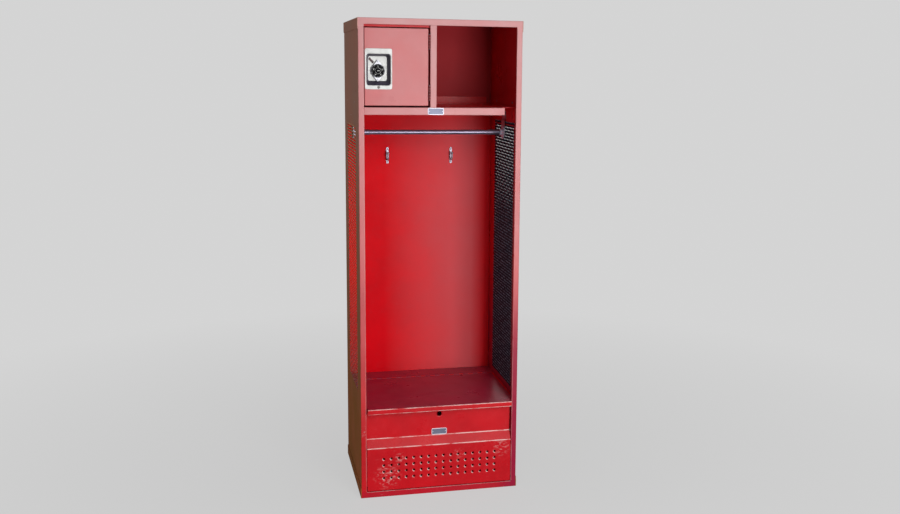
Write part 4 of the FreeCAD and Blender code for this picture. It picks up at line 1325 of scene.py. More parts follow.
@dataclass
class FootLocker(SubAssembly):
    """The folded front under the seat, with dished vent holes and a hole for a lock."""

    half_width: float = 282.0
    sheet: float = 1.5
    bend: float = 2.5
    profile: tuple[Pair, ...] = (  # depth and height of its folds, from the foot hem to the top flange
        (-225.0, 25.5),
        (-241.0, 25.5),
        (-241.0, 196.0),
        (-221.0, 228.0),
        (-221.0, 354.5),
        (-199.0, 354.5),
    )
    vent_columns: int = 16
    vent_rows: int = 4
    vent_pitch: Pair = (29.1, 25.6)  # along and up
    vent_low: float = 74.5
    vent_rings: tuple[float, ...] = (6.9, 6.1, 4.9, 3.9)  # radii from the rim to the hole
    vent_dish: tuple[float, ...] = (0.0, 0.35, 1.6, 3.2)  # rings behind the face
    vent_glint: tuple[float, ...] = (0.0, 1.2, 4.0, 4.0)  # painted highlight of each ring
    glint_angle: float = 208.0  # degrees from X, of the highlit side
    cell_steps: int = 6  # along a side of a vent's cell
    lock_z: float = 313.0
    lock_half: float = 19.4  # half size of its cell
    lock_steps: int = 8
    lock_rings: tuple[float, ...] = (13.0, 11.0, 9.6)
    lock_dish: tuple[float, ...] = (0.0, 0.1, 0.7)
    # folds with a pale line: worn paint and a painted highlight
    worn_folds: tuple[float, ...] = (195.6, 228.6)  # heights
    worn_width: float = 1.3
    fold_wear: Pair = (1.8, 0.5)  # worn paint and painted highlight of the folds in the middle, and how much more at the right end

    def columns(self) -> np.ndarray:
        """X of every line of points.

        Returns:
            Even steps over the vents, then out to both ends.
        """
        pitch = self.vent_pitch[0]
        half = self.vent_columns * pitch / 2.0
        middle = np.linspace(-half, half, self.vent_columns * self.cell_steps + 1)
        side = np.linspace(half, self.half_width, 8)[1:]
        return np.concatenate([-side[::-1], middle, side])

    def rows(self) -> np.ndarray:
        """Depth and height of every line of points.

        Returns:
            The folds, and even steps over the holes.
        """
        line = rounded_line(self.profile, self.bend, BEND_STEPS)
        length = run_lengths(line)
        rising = np.concatenate([[True], np.diff(line[:, 1]) > 1e-9])
        steps = np.linspace(-0.5, self.vent_rows - 0.5, self.vent_rows * self.cell_steps + 1)
        vents = self.vent_low + self.vent_pitch[1] * steps
        cell = self.lock_z + self.lock_half * np.linspace(-1.0, 1.0, self.lock_steps + 1)
        stops = np.interp(np.concatenate([vents, cell]), line[rising, 1], length[rising])
        return finer(line, np.concatenate([stops, beside_bends(line, BEND_STEPS, BEND_SUPPORT)]))

    def ring_cells(
        self,
        centres: np.ndarray,
        half: Pair,
        steps: int,
        rings: Sequence[float],
        dish: Sequence[float],
        glint: Sequence[float],
    ) -> Skin:
        """Dished holes in rectangular cells.

        Args:
            centres: Middle of each cell.
            half: Half width and half height of a cell.
            steps: Points along each side of a cell.
            rings: Radii from the dish's rim to the hole.
            dish: How far each ring lies behind the face.
            glint: Strength of each ring's painted highlight.

        Returns:
            Rings of points: the cell's border, then each radius at the border points' own angles. The
            wear, a painted highlight, is the ring's glint times the cosine of the angle from the lit side.
        """
        tick = np.linspace(-1.0, 1.0, steps, endpoint=False)
        one = np.ones(steps)
        sides = [(tick, -one), (one, tick), (-tick, one), (-one, -tick)]
        border = np.concatenate([np.column_stack(side) for side in sides]) * np.array(half)
        angle = np.arctan2(border[:, 1], border[:, 0])
        spokes = np.column_stack([np.cos(angle), np.sin(angle)])
        flat = np.concatenate([border[None], np.asarray(rings)[:, None, None] * spokes[None]])
        depth = np.concatenate([[0.0], dish])
        points = centres[:, None, None] + stacked(flat[..., 0], depth[:, None], flat[..., 1])
        lit = np.clip(np.cos(angle - math.radians(self.glint_angle)), 0.0, 1.0)
        wear = np.concatenate([[0.0], glint])[:, None] * lit
        skin = replace(grid(points, around=True), wear=np.tile(wear.ravel(), len(centres)))
        return skin.facing(FORWARD)

    def vent_centres(self) -> np.ndarray:
        """Return the middle of every vent."""
        across = (np.arange(self.vent_columns) - (self.vent_columns - 1) / 2.0) * self.vent_pitch[0]
        up = self.vent_low + np.arange(self.vent_rows) * self.vent_pitch[1]
        x, z = np.meshgrid(across, up)
        return stacked(x.ravel(), self.profile[1][0], z.ravel())

    def sheet_skin(self) -> Skin:
        """Folded sheet without its cells.

        Returns:
            The profile carried along X. Its wear, partly a painted highlight, is a bell curve of the height
            above or below a pale fold.
        """
        across, rows = self.columns(), self.rows()
        skin = grid(carried(rows, across))
        middle = skin.points[skin.quads].mean(axis=1)
        half_x = self.vent_columns * self.vent_pitch[0] / 2.0
        low = self.vent_low - self.vent_pitch[1] / 2.0
        high = low + self.vent_rows * self.vent_pitch[1]
        aside, level = np.abs(middle[:, 0]), middle[:, 2]
        vents = (aside < half_x) & (level > low) & (level < high)
        lock = (aside < self.lock_half) & (np.abs(level - self.lock_z) < self.lock_half)
        off = (rows[:, 1, None] - np.array(self.worn_folds)) / self.worn_width
        worn = np.exp(-(off**2)).max(axis=1)
        least, more = self.fold_wear
        wear = np.repeat(worn, len(across)) * np.tile(least + more * across / self.half_width, len(rows))
        return replace(skin, quads=skin.quads[~(vents | lock)], wear=wear).facing(FORWARD)

    def build(self) -> None:
        """Place the front."""
        half = (self.vent_pitch[0] / 2.0, self.vent_pitch[1] / 2.0)
        dish = (self.vent_rings, self.vent_dish, self.vent_glint)
        vents = self.ring_cells(self.vent_centres(), half, self.cell_steps, *dish)
        centre = np.array([(0.0, self.profile[3][0], self.lock_z)])
        plain = (0.0,) * len(self.lock_rings)
        dish = (self.lock_rings, self.lock_dish, plain)
        lock = self.ring_cells(centre, (self.lock_half, self.lock_half), self.lock_steps, *dish)
        skins, stands_for = [self.sheet_skin(), vents, lock], ["foot_locker_front"]
        place("vented_front", skins, [self.finishes.front], Body.CABINET, Slot.RED, stands_for, self.sheet)


@dataclass
class HingeLeaf:
    """One leaf of a butt or continuous hinge, drawn along its pin."""

    length: float
    count: int  # knuckles of both leaves
    first: int  # number of its first knuckle
    barrel: float  # radius of a knuckle
    leaf: float  # thickness
    offset: float  # from the pin, across it
    width: float  # reach from the pin
    gap: float = 0.4  # between knuckles
    crown: float = 0.5  # rounding of a knuckle's ends

    def skins(self) -> list[Skin]:
        """Leaf in its own axes: along the pin, away from it, and across.

        Returns:
            Every other knuckle as a barrel turned about the pin, their tongues, and the flat bar.
        """
        pitch = self.length / self.count
        barrel, crown = self.barrel, self.crown
        end = pitch - self.gap
        profile = [(barrel - crown, 0.0), (barrel, crown), (barrel, end - crown), (barrel - crown, end)]
        starts = np.arange(self.first, self.count, 2) * pitch + self.gap / 2.0
        places = np.column_stack([starts, np.zeros((len(starts), 2))])
        high = self.offset + self.leaf
        knuckles = turned(profile, ORIGIN, Axis.X, 20).at(places)
        tongues = bar((0.0, 0.0, self.offset), (end, barrel + self.gap, high)).at(places)
        flat = bar((0.0, barrel + self.gap, self.offset), (self.length, self.width, high))
        return [knuckles, tongues, flat]


@dataclass
class SeatDeck(SubAssembly):
    """The lift-up seat lid, its continuous hinge and the fixed strip behind it."""

    # depth and height, from its hem to the top
    nose: tuple[Pair, ...] = ((-249.0, 336.0), (-259.0, 336.0), (-259.0, 356.0))
    shoulder: float = -223.0  # where the lid widens behind the uprights
    rear: float = 148.2
    level: float = 356.0
    nose_half: float = 280.0
    lid_half: float = 296.0
    sheet: float = 1.5
    bend: float = 2.5
    creases: tuple[tuple[Pair, Pair, float], ...] = (  # start, end and depth of each
        ((-190.0, -150.0), (30.0, -95.0), 0.9),
        ((10.0, 40.0), (120.0, 10.0), 0.8),
        ((-230.0, -215.0), (-120.0, -170.0), 0.6),
        ((120.0, -140.0), (240.0, -60.0), 0.5),
    )
    crease_wide: float = 12.0
    hinge: Pair = (152.0, 354.5)  # depth and height of the pin
    hinge_half: float = 276.0
    knuckles: int = 27
    worn_width: float = 1.1
    nose_wear: Pair = (1.5, 0.5)  # worn paint and painted highlight of the nose in the middle, and how much more at the right end
    nose_stops: Pair = (38.0, 62.0)  # lengths with more rows between them
    face_lines: tuple[int, int] = (57, 38)  # columns over the nose, rows behind it

    def sag(self, x: np.ndarray, y: np.ndarray) -> np.ndarray:
        """Depth of the creases.

        Args:
            x: Places across.
            y: Places along the depth.

        Returns:
            How far the face lies below its level: for each crease, its depth times a bell curve of the
            distance from the crease's line, where the nearest point is held between the line's ends.
        """
        place = np.stack([x, y], axis=-1)
        total = np.zeros_like(x)
        for start, end, deep in self.creases:
            way = np.array(end) - np.array(start)
            share = np.clip(((place - np.array(start)) @ way) / (way @ way), 0.0, 1.0)
            far = np.linalg.norm(place - np.array(start) - share[..., None] * way, axis=-1)
            total += deep * np.exp(-((far / self.crease_wide) ** 2))
        return total

    def lid_grid(self, rows: np.ndarray, across: np.ndarray) -> Skin:
        """Part of the lid.

        Args:
            rows: Depth and height of each row.
            across: X of each column.

        Returns:
            The rows carried along X, creased where they are on the face, with the worn paint and painted
            highlight of the nose.
        """
        points = carried(rows, across)
        on_face = points[..., 2] > self.level - 1e-6
        points[..., 2] -= np.where(on_face, self.sag(points[..., 0], points[..., 1]), 0.0)
        corners = np.array(self.nose[1:])
        far = np.linalg.norm(rows[:, None] - corners[None], axis=-1).min(axis=1)
        worn = np.exp(-((np.maximum(far - self.bend / 2.0, 0.0) / self.worn_width) ** 2))
        least, more = self.nose_wear
        wear = np.repeat(worn, len(across)) * np.tile(least + more * across / self.nose_half, len(rows))
        return replace(grid(points), wear=wear).facing((0.0, -0.3, 1.0))

    def lid(self) -> list[Skin]:
        """Face of the lid.

        Returns:
            The nose's lip in the second finish, its top, and the wide part behind.
        """
        line = rounded_line([*self.nose, (self.shoulder, self.level)], self.bend, BEND_STEPS)
        beside = beside_bends(line, BEND_STEPS, BEND_SUPPORT)
        nose = finer(line, np.concatenate([beside, np.linspace(*self.nose_stops, 5)]))
        columns, count = self.face_lines
        behind = np.linspace(self.shoulder, self.rear, count)
        wide = np.column_stack([behind, np.full(len(behind), self.level)])
        across = np.linspace(-self.nose_half, self.nose_half, columns)
        wings = np.array([(self.nose_half + self.lid_half) / 2.0, self.lid_half])
        wide_across = np.concatenate([-wings[::-1], across, wings])
        turn = int(np.argmax(nose[:, 1] > self.level - 1e-6))
        lip = replace(self.lid_grid(nose[: turn + 1], across), paint=1).facing(FORWARD)
        return [lip, self.lid_grid(nose[turn:], across), self.lid_grid(wide, wide_across)]

    def hinge_leaf(self, first: int, toward: float) -> list[Skin]:
        """Return one leaf of the hinge.

        Args:
            first: Number of its first knuckle.
            toward: Sign of Y that the leaf lies toward.

        Returns:
            The leaf's surfaces, its flat under the sheet.
        """
        sizes = {"barrel": 3.5, "leaf": 1.2, "offset": -1.2, "width": 24.0}
        leaf = HingeLeaf(2.0 * self.hinge_half, self.knuckles, first, **sizes)
        axes = (Axis.X.value, (0.0, toward, 0.0), Axis.Z.value)
        return [skin.placed((-self.hinge_half, *self.hinge), *axes) for skin in leaf.skins()]

    def build(self) -> None:
        """Place the lid and both hinge leaves, and dress the rest."""
        paints, body = [self.finishes.seat, self.finishes.front], Body.SEAT
        place("creased_lid", self.lid(), paints, body, Slot.RED, ["seat_lid"], self.sheet)
        moving, paints = self.hinge_leaf(1, -1.0), [self.finishes.hinge]
        place("lid_hinge_knuckles", moving, paints, body, Slot.RED, ["seat_hinge_lid_leaf"])
        fixed, paints, body = self.hinge_leaf(0, 1.0), [self.finishes.seat], Body.CABINET
        place("fixed_hinge_knuckles", fixed, paints, body, Slot.RED, ["seat_hinge_fixed_leaf"])
        dress(["lid_stiffener", "rear_seat_strip"], self.finishes.seat)
        dress(["seat_hinge_pin"], self.finishes.zinc)


@dataclass
class LockBoxDoor(SubAssembly):
    """The lock-box door pan and its two butt hinges."""

    edges: Edges = (-282.5, -49.0, 1497.0, 1775.0)  # left, right, low and high
    corner: float = 2.6
    face: float = -241.0
    edge: float = 18.0  # how far the edges turn back
    sheet: float = 1.5
    bend: float = 2.5
    mouth: Edges = (-276.5, -186.5, 1568.5, 1683.5)  # cut-out for the lock pocket
    mouth_corner: float = 9.0
    key_hole: Pair = (-231.5, 1562.75)  # X and Z
    key_radius: float = 6.6
    pin: Pair = (-45.5, -243.5)  # X and Y
    hinge_low: Pair = (1518.0, 1702.0)
    hinge_long: float = 52.0
    leaf_offsets: Pair = (1.7, -3.5)  # X from the pin, frame and door
    pin_radius: float = 2.0
    head_radius: float = 3.4  # of a pin
    head_high: float = 1.6

    def pan(self) -> Skin:
        """Outer face of the door.

        Returns:
            Outlines from the turned edges' rear, forward and round the bend, and in to the cut-out.
        """
        loops, depths = [rounded_box_loop(self.edges, self.bend)], [self.face + self.edge]
        for turn in np.linspace(0.0, 0.5 * math.pi, 6):
            shrink = self.bend * (1.0 - math.cos(turn))
            loops.append(rounded_box_loop(grown(self.edges, -shrink), self.corner - shrink))
            depths.append(self.face + self.bend * (1.0 - math.sin(turn)))
        loops.append(rounded_box_loop(self.mouth, self.mouth_corner))
        return pressed(loops, [*depths, self.face], ends=False).facing(FORWARD)

    def leaves(self, first: int) -> list[Skin]:
        """One side's leaves of both hinges.

        Args:
            first: Number of the first knuckle, 0 on the frame and 1 on the door.

        Returns:
            The leaves' surfaces, lying back from the pins.
        """
        sizes = {"barrel": 4.0, "leaf": 1.8, "offset": self.leaf_offsets[first], "width": 19.5}
        skins = HingeLeaf(self.hinge_long, 5, first, **sizes).skins()
        axes = (Axis.Z.value, Axis.Y.value, Axis.X.value)
        return [skin.placed((*self.pin, low), *axes) for low in self.hinge_low for skin in skins]

    def pins(self) -> Skin:
        """Pins of both hinges.

        Returns:
            One surface, with a domed head at each end of a pin.
        """
        rise = np.linspace(0.0, 0.5 * math.pi, 5)
        high = self.hinge_long + self.head_high * np.sin(rise)
        head = np.column_stack([self.head_radius * np.cos(rise), high])
        foot = head[::-1] * np.array([1.0, -1.0]) + np.array([0.0, self.hinge_long])
        shank = [(self.pin_radius, 0.0), (self.pin_radius, self.hinge_long)]
        profile = [*map(tuple, foot), *shank, *map(tuple, head)]
        lows = [(0.0, 0.0, low) for low in self.hinge_low]
        return turned(profile, (*self.pin, 0.0), Axis.Z, 20).at(lows)

    def build(self) -> None:
        """Place the door and its hinges."""
        x, z = self.key_hole
        key = Cutter((x, self.face, z), Axis.Y, self.key_radius, 10.0)
        pan, body, red = [self.pan()], Body.DOOR, [self.finishes.door]
        place("door_pan", pan, red, body, Slot.RED, ["door_panel"], self.sheet, [key])
        dark = [self.finishes.knuckle]
        place("door_knuckles", self.leaves(1), dark, body, Slot.RED, ["door_hinge_leaves"])
        body = Body.CABINET
        place("frame_knuckles", self.leaves(0), dark, body, Slot.RED, ["frame_hinge_leaves"])
        place("headed_pins", [self.pins()], [self.finishes.zinc], body, Slot.ZINC, ["door_hinge_pins"])


@dataclass
class CombinationLock(SubAssembly):
    """The recessed stainless pocket with its combination dial, lever and key plug."""

    plate: Edges = (-281.0, -182.0, 1555.5, 1701.5)  # left, right, low and high
    plate_corner: float = 7.0
    plate_face: float = -242.5
    plate_back: float = -241.0  # the door's face
    mouth: Edges = (-275.0, -188.0, 1570.0, 1682.0)
    floor: Edges = (-267.0, -196.0, 1585.5, 1675.0)
    corner: float = 9.0  # of mouth and floor
    floor_depth: float = -212.2
    wall: float = 1.0
    rim: float = 0.6  # rounding of the plate's edge
    lip: float = 1.6  # rounding of the mouth's edge
    fillet: float = 3.0
    wall_bands: int = 3  # bands of faces from the lip down
    key: Pair = (-231.5, 1562.75)  # X and Z
    key_radius: float = 5.1
    centre: Pair = (-231.5, 1622.0)  # X and Z of the dial
    half_width: float = 25.5  # of the escutcheon
    half_height: float = 40.5
    tip: float = 3.0  # rounding of its points
    escutcheon: Pair = (-222.0, -219.0)  # depths of face and back
    boss: float = 19.9  # radius
    # section of the ring round the dial: inwards, behind the face
    bezel: tuple[Pair, ...] = ((2.4, 1.0), (0.7, 1.0), (0.9, -0.5), (1.5, -0.8), (2.2, -0.5))
    screw: Pair = (2.0, 1.2)  # radius and height
    screw_spread: float = 32.0
    dial_back: float = -222.3
    dial_radius: float = 22.9
    dial_thick: float = 5.0
    bevel: float = 2.2
    knob_radius: float = 9.5
    knob_high: float = 10.0
    flutes: int = 10
    flute_deep: float = 1.4
    knob_draw: tuple[float, ...] = (0.0, 0.2, 0.45, 0.95, 1.6, 2.4)  # inwards at each rise
    knob_rise: tuple[float, ...] = (0.0, 0.82, 0.90, 0.96, 0.99, 1.0)  # shares of the height
    numbers: int = 50  # marks round the dial
    number_step: int = 5  # between long marks; every second has a figure
    main_tick: Pair = (1.6, 2.6)  # width and length
    small_tick: Pair = (0.25, 0.8)
    mark_proud: float = 0.10
    band: Pair = (10.4, 11.0)  # radii of the white ring
    dash: Pair = (4.6, 0.8)  # half length and half width
    figure_radius: float = 16.2
    figure_size: Pair = (6.0, 0.24)  # height and thickness
    pivot: Pair = (-260.5, 1664.75)  # X and Z
    lever_back: float = -212.5
    lever_size: Edges = (16.0, 7.5, 3.0, 9.0)  # length, width, thickness, tab
    lever_angle: float = -45.0  # degrees
    tab_thick: float = 2.5
    ridges: int = 6
    ridge_deep: float = 0.22

    def taper(self, share: float) -> Edges:
        """Return the walls' four edges part of the way from the mouth to the floor."""
        return tuple(a + share * (b - a) for a, b in zip(self.mouth, self.floor))

    def pocket(self) -> list[Skin]:
        """Face of the pressed pocket.

        Returns:
            Outlines from the plate's rim over its rounded edge, across to the mouth, round the lip,
            down the tapered walls and round the fillet to the floor, which closes them. The walls take
            the second finish, a painted shade of the recess.
        """
        turn = np.linspace(0.0, 0.5 * math.pi, 5)
        arc = list(zip(1.0 - np.cos(turn), 1.0 - np.sin(turn)))
        rows: list[tuple[Edges, float, float]] = [(self.plate, self.plate_corner, self.plate_back)]
        for small, large in arc:
            shrink = self.rim * small
            depth = self.plate_face + self.rim * large
            rows.append((grown(self.plate, -shrink), self.plate_corner - shrink, depth))
        for small, large in arc:
            grow = self.lip * large
            rows.append((grown(self.mouth, grow), self.corner + grow, self.plate_face + self.lip * small))
        start = self.plate_face + self.lip
        deep = self.floor_depth - start
        share = 1.0 - self.fillet / deep
        foot = self.taper(share)
        rows.append((foot, self.corner, start + share * deep))
        for small, large in arc[1:]:
            shrink, depth = self.fillet * small, self.floor_depth - self.fillet * large
            rows.append((grown(foot, -shrink), self.corner - shrink, depth))
        loops = [rounded_box_loop(edges, radius, 6) for edges, radius, _ in rows]
        skin = pressed(loops, [depth for _, _, depth in rows])
        skin = replace(skin, caps=skin.caps[1:]).facing(FORWARD)
        bands = skin.quads.reshape(len(rows) - 1, -1, 4)
        first = 2 * len(turn)
        last = first + self.wall_bands
        walls = replace(skin, quads=bands[first:last].reshape(-1, 4), caps=[], paint=1)
        rest = np.concatenate([bands[:first], bands[last:]])
        return [replace(skin, quads=rest.reshape(-1, 4)), walls]

    def lozenge(self) -> np.ndarray:
        """Outline of the escutcheon.

        Returns:
            X and Z pairs: a circle drawn out by tangents to a rounded point above and below.
        """
        lean = math.asin(self.half_width / self.half_height)
        swing = np.linspace(-lean, lean, 17)
        right = self.half_width * np.column_stack([np.cos(swing), np.sin(swing)])
        top = rounded_line([right[-1], (0.0, self.half_height), -right[0]], self.tip, 6)[1:-1]
        half = np.concatenate([right, top])
        return np.concatenate([half, -half]) + np.array(self.centre)

    def escutcheon_skins(self) -> list[Skin]:
        """Escutcheon.

        Returns:
            Its bevelled plate, a ring round the dial, the boss and two screws.
        """
        face, back = self.escutcheon
        plate = raised(self.lozenge(), (0.0, 0.0, 0.4, 1.2), (back, face + 1.1, face + 0.4, face))
        x, z = self.centre
        bezel = [(self.half_width - inward, face + down) for inward, down in self.bezel]
        boss = [(self.boss, back), (self.boss, self.floor_depth)]
        screws = [(x, face + 0.3, z + side * self.screw_spread) for side in (-1.0, 1.0)]
        round_parts = [self.ring(bezel, (x, 0.0, z)), turned(boss, (x, 0.0, z), Axis.Y, 40)]
        return [plate, *round_parts, *heads(screws, self.screw, Axis.Y, 16)]

    @staticmethod
    def ring(profile: Sequence[Pair], centre: Triple, paint: int = 0) -> Skin:
        """Return a closed section of radius and depth pairs turned about Y."""
        skin = turned([*profile, profile[0]], centre, Axis.Y, 48)
        return replace(skin, caps=[], paint=paint).outward()

    def dial_skins(self) -> list[Skin]:
        """Combination dial.

        Returns:
            Its disc, its fluted knob, and its marks in the second finish.
        """
        middle = (self.centre[0], 0.0, self.centre[1])
        back, rim, ease = self.dial_back, self.dial_radius, 0.4
        front = back - self.dial_thick
        disc = [(0.0, back), (rim - ease, back), (rim, back - ease), (rim, front + self.bevel)]
        disc += [(rim - self.bevel, front), (0.0, front)]
        inner, outer = self.band
        low, high = front + 0.2, front - 0.12
        band = self.ring([(inner, low), (outer, low), (outer, high), (inner, high)], middle, 1)
        solid = [turned(disc, middle, Axis.Y, 64), self.knob(front), band]
        return solid + self.ticks(front) + self.figures(front)

    def knob(self, front: float) -> Skin:
        """Fluted knob.

        Args:
            front: Depth of the dial's face.

        Returns:
            Radius less flute depth times a squared wave round the axis, domed at its edge.
        """
        angle = np.linspace(0.0, TURN, 120, endpoint=False)
        flute = 0.5 - 0.5 * np.cos(self.flutes * angle)
        outline = self.knob_radius - self.flute_deep * flute**2
        radius = outline[None] - np.array(self.knob_draw)[:, None]
        x, z = self.centre
        depth = front - self.knob_high * np.array(self.knob_rise)[:, None]
        points = stacked(x + radius * np.cos(angle), depth, z + radius * np.sin(angle))
        return grid(points, around=True, ends=True).outward()

    def spoke(self, number: int) -> tuple[np.ndarray, np.ndarray]:
        """Return the direction out to a mark of the dial and the direction beside it."""
        turn = TURN * number / self.numbers
        away, along = math.sin(turn), math.cos(turn)
        return np.array([away, 0.0, along]), np.array([along, 0.0, -away])

    def ticks(self, front: float) -> list[Skin]:
        """White marks.

        Args:
            front: Depth of the dial's face.

        Returns:
            Marks on the bevel, a longer and broader one at each figure, and a dash on the knob.
        """
        proud, start = self.mark_proud, 0.1
        slant, back = math.sqrt(0.5), np.array(Axis.Y.value)
        x, z = self.centre
        made = []
        for number in range(self.numbers):
            wide, long = self.small_tick if number % self.number_step else self.main_tick
            out, side = self.spoke(number)
            origin = np.array([x, front, z]) + out * (self.dial_radius - self.bevel)
            tick = bar((start, -wide / 2.0, -proud), (start + long, wide / 2.0, proud))
            made.append(tick.placed(tuple(origin), (out + back) * slant, side, (out - back) * slant))
        top = front - self.knob_high
        long, wide = self.dash
        made.append(bar((x - long, top - 0.1, z - wide), (x + long, top + 0.2, z + wide)))
        return [replace(mark, paint=1) for mark in made]

    def figures(self, front: float) -> list[Skin]:
        """Plain numbers round the dial.

        Args:
            front: Depth of the dial's face.

        Returns:
            One surface for each number, its top outwards.
        """
        x, z = self.centre
        made = []
        for number in range(0, self.numbers, 2 * self.number_step):
            out, side = self.spoke(number)
            origin = np.array([x, front, z]) + self.figure_radius * out
            figure = lettering(str(number), *self.figure_size)
            made.append(replace(figure.placed(tuple(origin), side, out, FORWARD), paint=1))
        return made

    def lever_skins(self) -> list[Skin]:
        """Turn lever.

        Returns:
            A rounded bar on the floor and a finger tab at its free end. The tab's outline is drawn in by a
            cosine of the height, which makes its ridges, and tapers at the top.
        """
        long, wide, thick, tab = self.lever_size
        half, ease = wide / 2.0, 0.3
        front = self.lever_back - thick
        outline = rounded_box_loop((-half, long + half, -half, half), half - ease, 8)
        depths = (self.lever_back, front + 0.9, front + ease, front)
        blade = raised(outline, (0.0, 0.0, 0.5, 1.1), depths)
        grip = rounded_box_loop((long, long + self.tab_thick, ease - half, half - ease), 0.9, 4)
        rows = np.linspace(0.0, 1.0, 25)
        ridge = self.ridge_deep * (0.5 - 0.5 * np.cos(TURN * self.ridges * rows))
        ridge += 0.9 * np.clip(rows - 0.92, 0.0, 1.0) / 0.08
        finger = raised(grip, ridge, front + 0.2 - (tab + 0.2) * rows)
        slope = math.radians(self.lever_angle)
        along = (math.cos(slope), 0.0, math.sin(slope))
        across = (-math.sin(slope), 0.0, math.cos(slope))
        origin = (self.pivot[0], 0.0, self.pivot[1])
        return [skin.placed(origin, along, Axis.Y.value, across) for skin in (blade, finger)]

    def build(self) -> None:
        """Place the lock's pieces, and dress the rest."""
        x, z = self.key
        hole = Cutter((x, self.plate_face, z), Axis.Y, self.key_radius, 6.0)
        pocket, steel, body = self.pocket(), [self.finishes.stainless, self.finishes.pocket_wall], Body.DOOR
        place("pressed_pocket", pocket, steel, body, Slot.STAINLESS, ["lock_pocket"], self.wall, [hole])
        plate, cast = self.escutcheon_skins(), [self.finishes.cast]
        place("cast_escutcheon", plate, cast, body, Slot.CHROME, ["lock_escutcheon"])
        dial, paints = self.dial_skins(), [self.finishes.dial, self.finishes.marks]
        place("marked_dial", dial, paints, Body.DIAL, Slot.DIAL, ["lock_dial"])
        lever, paints = self.lever_skins(), [self.finishes.lever]
        place("ridged_lever", lever, paints, Body.LEVER, Slot.LEVER, ["turn_lever"])
        dress(["lock_case", "key_cylinder"], self.finishes.lock_body)
        dress(["latch_bolt"], self.finishes.zinc)
        dress(["key_plug"], self.finishes.brass)


@dataclass
class CoatRod(SubAssembly):
    """The chromed rod, its cups and the straps that hang them."""

    depth: float = 19.0
    height: float = 1386.0
    radius: float = 9.5
    half_length: float = 296.2
    sleeve: Pair = (236.0, 283.6)  # start and end, from the middle
    sleeve_radius: float = 10.7
    wall_face: float = 298.2  # X of the strap's face
    flange: Pair = (26.0, 3.0)  # radius and thickness
    hub: Pair = (13.0, 14.0)  # radius and length
    screw: Pair = (3.2, 1.8)  # radius and height
    screw_spread: float = 19.5

    def rod(self) -> Skin:
        """Rod turned about X.

        Returns:
            One surface, with a sleeve at each end.
        """
        start, end = self.sleeve
        wide, narrow = self.sleeve_radius, self.radius
        step = wide - narrow
        right = [(narrow, start - step), (wide - 0.2, start - 0.2), (wide, start + 0.4), (wide, end)]
        right += [(narrow, end), (narrow, self.half_length)]
        left = [(radius, -along) for radius, along in reversed(right)]
        return turned([*left, *right], (0.0, self.depth, self.height), Axis.X, 40)

    def cup(self) -> list[Skin]:
        """Cup at the rod's right end.

        Returns:
            A dished flange with a hub, and two screws.
        """
        flange, thick = self.flange
        hub, long = self.hub
        wall = self.wall_face
        face, end = wall - thick, wall - long
        profile = [(flange, wall), (flange, wall - 0.45 * thick), (flange - 1.2, wall - 0.8 * thick)]
        profile += [(flange - 3.5, face), (hub + 2.2, face), (hub + 0.6, face - 0.7), (hub, face - 2.2)]
        profile += [(hub, end + 1.0), (hub - 1.0, end), (self.radius, end)]
        cup = turned(profile, (0.0, self.depth, self.height), Axis.X, 48)
        spread = (-self.screw_spread, self.screw_spread)
        screws = [(face + 0.2, self.depth + side, self.height) for side in spread]
        return [cup, *heads(screws, self.screw, Axis.X)]

    def build(self) -> None:
        """Place the rod and its cups, and dress the straps."""
        chrome, body = [self.finishes.chrome], Body.CABINET
        place("sleeved_rod", [self.rod()], chrome, body, Slot.CHROME, ["coat_rod"])
        for side in Side:
            name = side.name.lower()
            skins = [skin.mirrored(side) for skin in self.cup()]
            place(name + "_cup", skins, [self.finishes.cup], body, Slot.CHROME, [name + "_rod_socket"])
        dress(["left_rod_bracket", "right_rod_bracket"], self.finishes.zinc)


@dataclass
class CoatHooks(SubAssembly):
    """The two prong hooks on the back."""

    spread: float = 133.0
    wall: float = 254.0  # face of the back panel
    low: float = 1243.0
    high: float = 1311.0
    plate_half: float = 5.4
    plate_thick: float = 2.5
    level: float = 1259.0  # root of the prong
    reach: float = 227.5  # depth of its upright
    tip: float = 1287.0
    wire: float = 3.5  # radius of the prong
    bead: float = 5.5  # radius of its ball
    bend: float = 11.0
    screws: Pair = (1250.5, 1302.0)  # heights
    screw: Pair = (3.0, 1.6)  # radius and height

    def hook(self, x: float) -> list[Skin]:
        """One hook.

        Args:
            x: Place of its middle.

        Returns:
            A rounded plate, a prong carried along its bend, a ball and two screws.
        """
        half, face = self.plate_half, self.wall - self.plate_thick
        outline = rounded_box_loop((x - half, x + half, self.low, self.high), half - 0.3, 8)
        plate = raised(outline, (0.0, 0.0, 0.4, 1.1), (self.wall, face + 0.9, face + 0.3, face))
        corners = [(x, face + 0.5, self.level), (x, self.reach, self.level), (x, self.reach, self.tip)]
        prong = swept(circle(self.wire), rounded_line(corners, self.bend, 10), Axis.X.value)
        turn = np.linspace(0.0, math.pi, 13)
        arc = np.column_stack([self.bead * np.sin(turn), -self.bead * np.cos(turn)])
        ball = turned([tuple(pair) for pair in arc], (x, self.reach, self.tip), Axis.Z, 24)
        screws = [(x, face + 0.2, z) for z in self.screws]
        return [plate, prong, ball, *heads(screws, self.screw, Axis.Y)]

    def build(self) -> None:
        """Place both hooks."""
        for side in Side:
            name, zinc = side.name.lower(), [self.finishes.zinc]
            skins, node = self.hook(side.value * self.spread), name + "_coat_hook"
            place(name + "_prong_hook", skins, zinc, Body.CABINET, Slot.ZINC, [node])


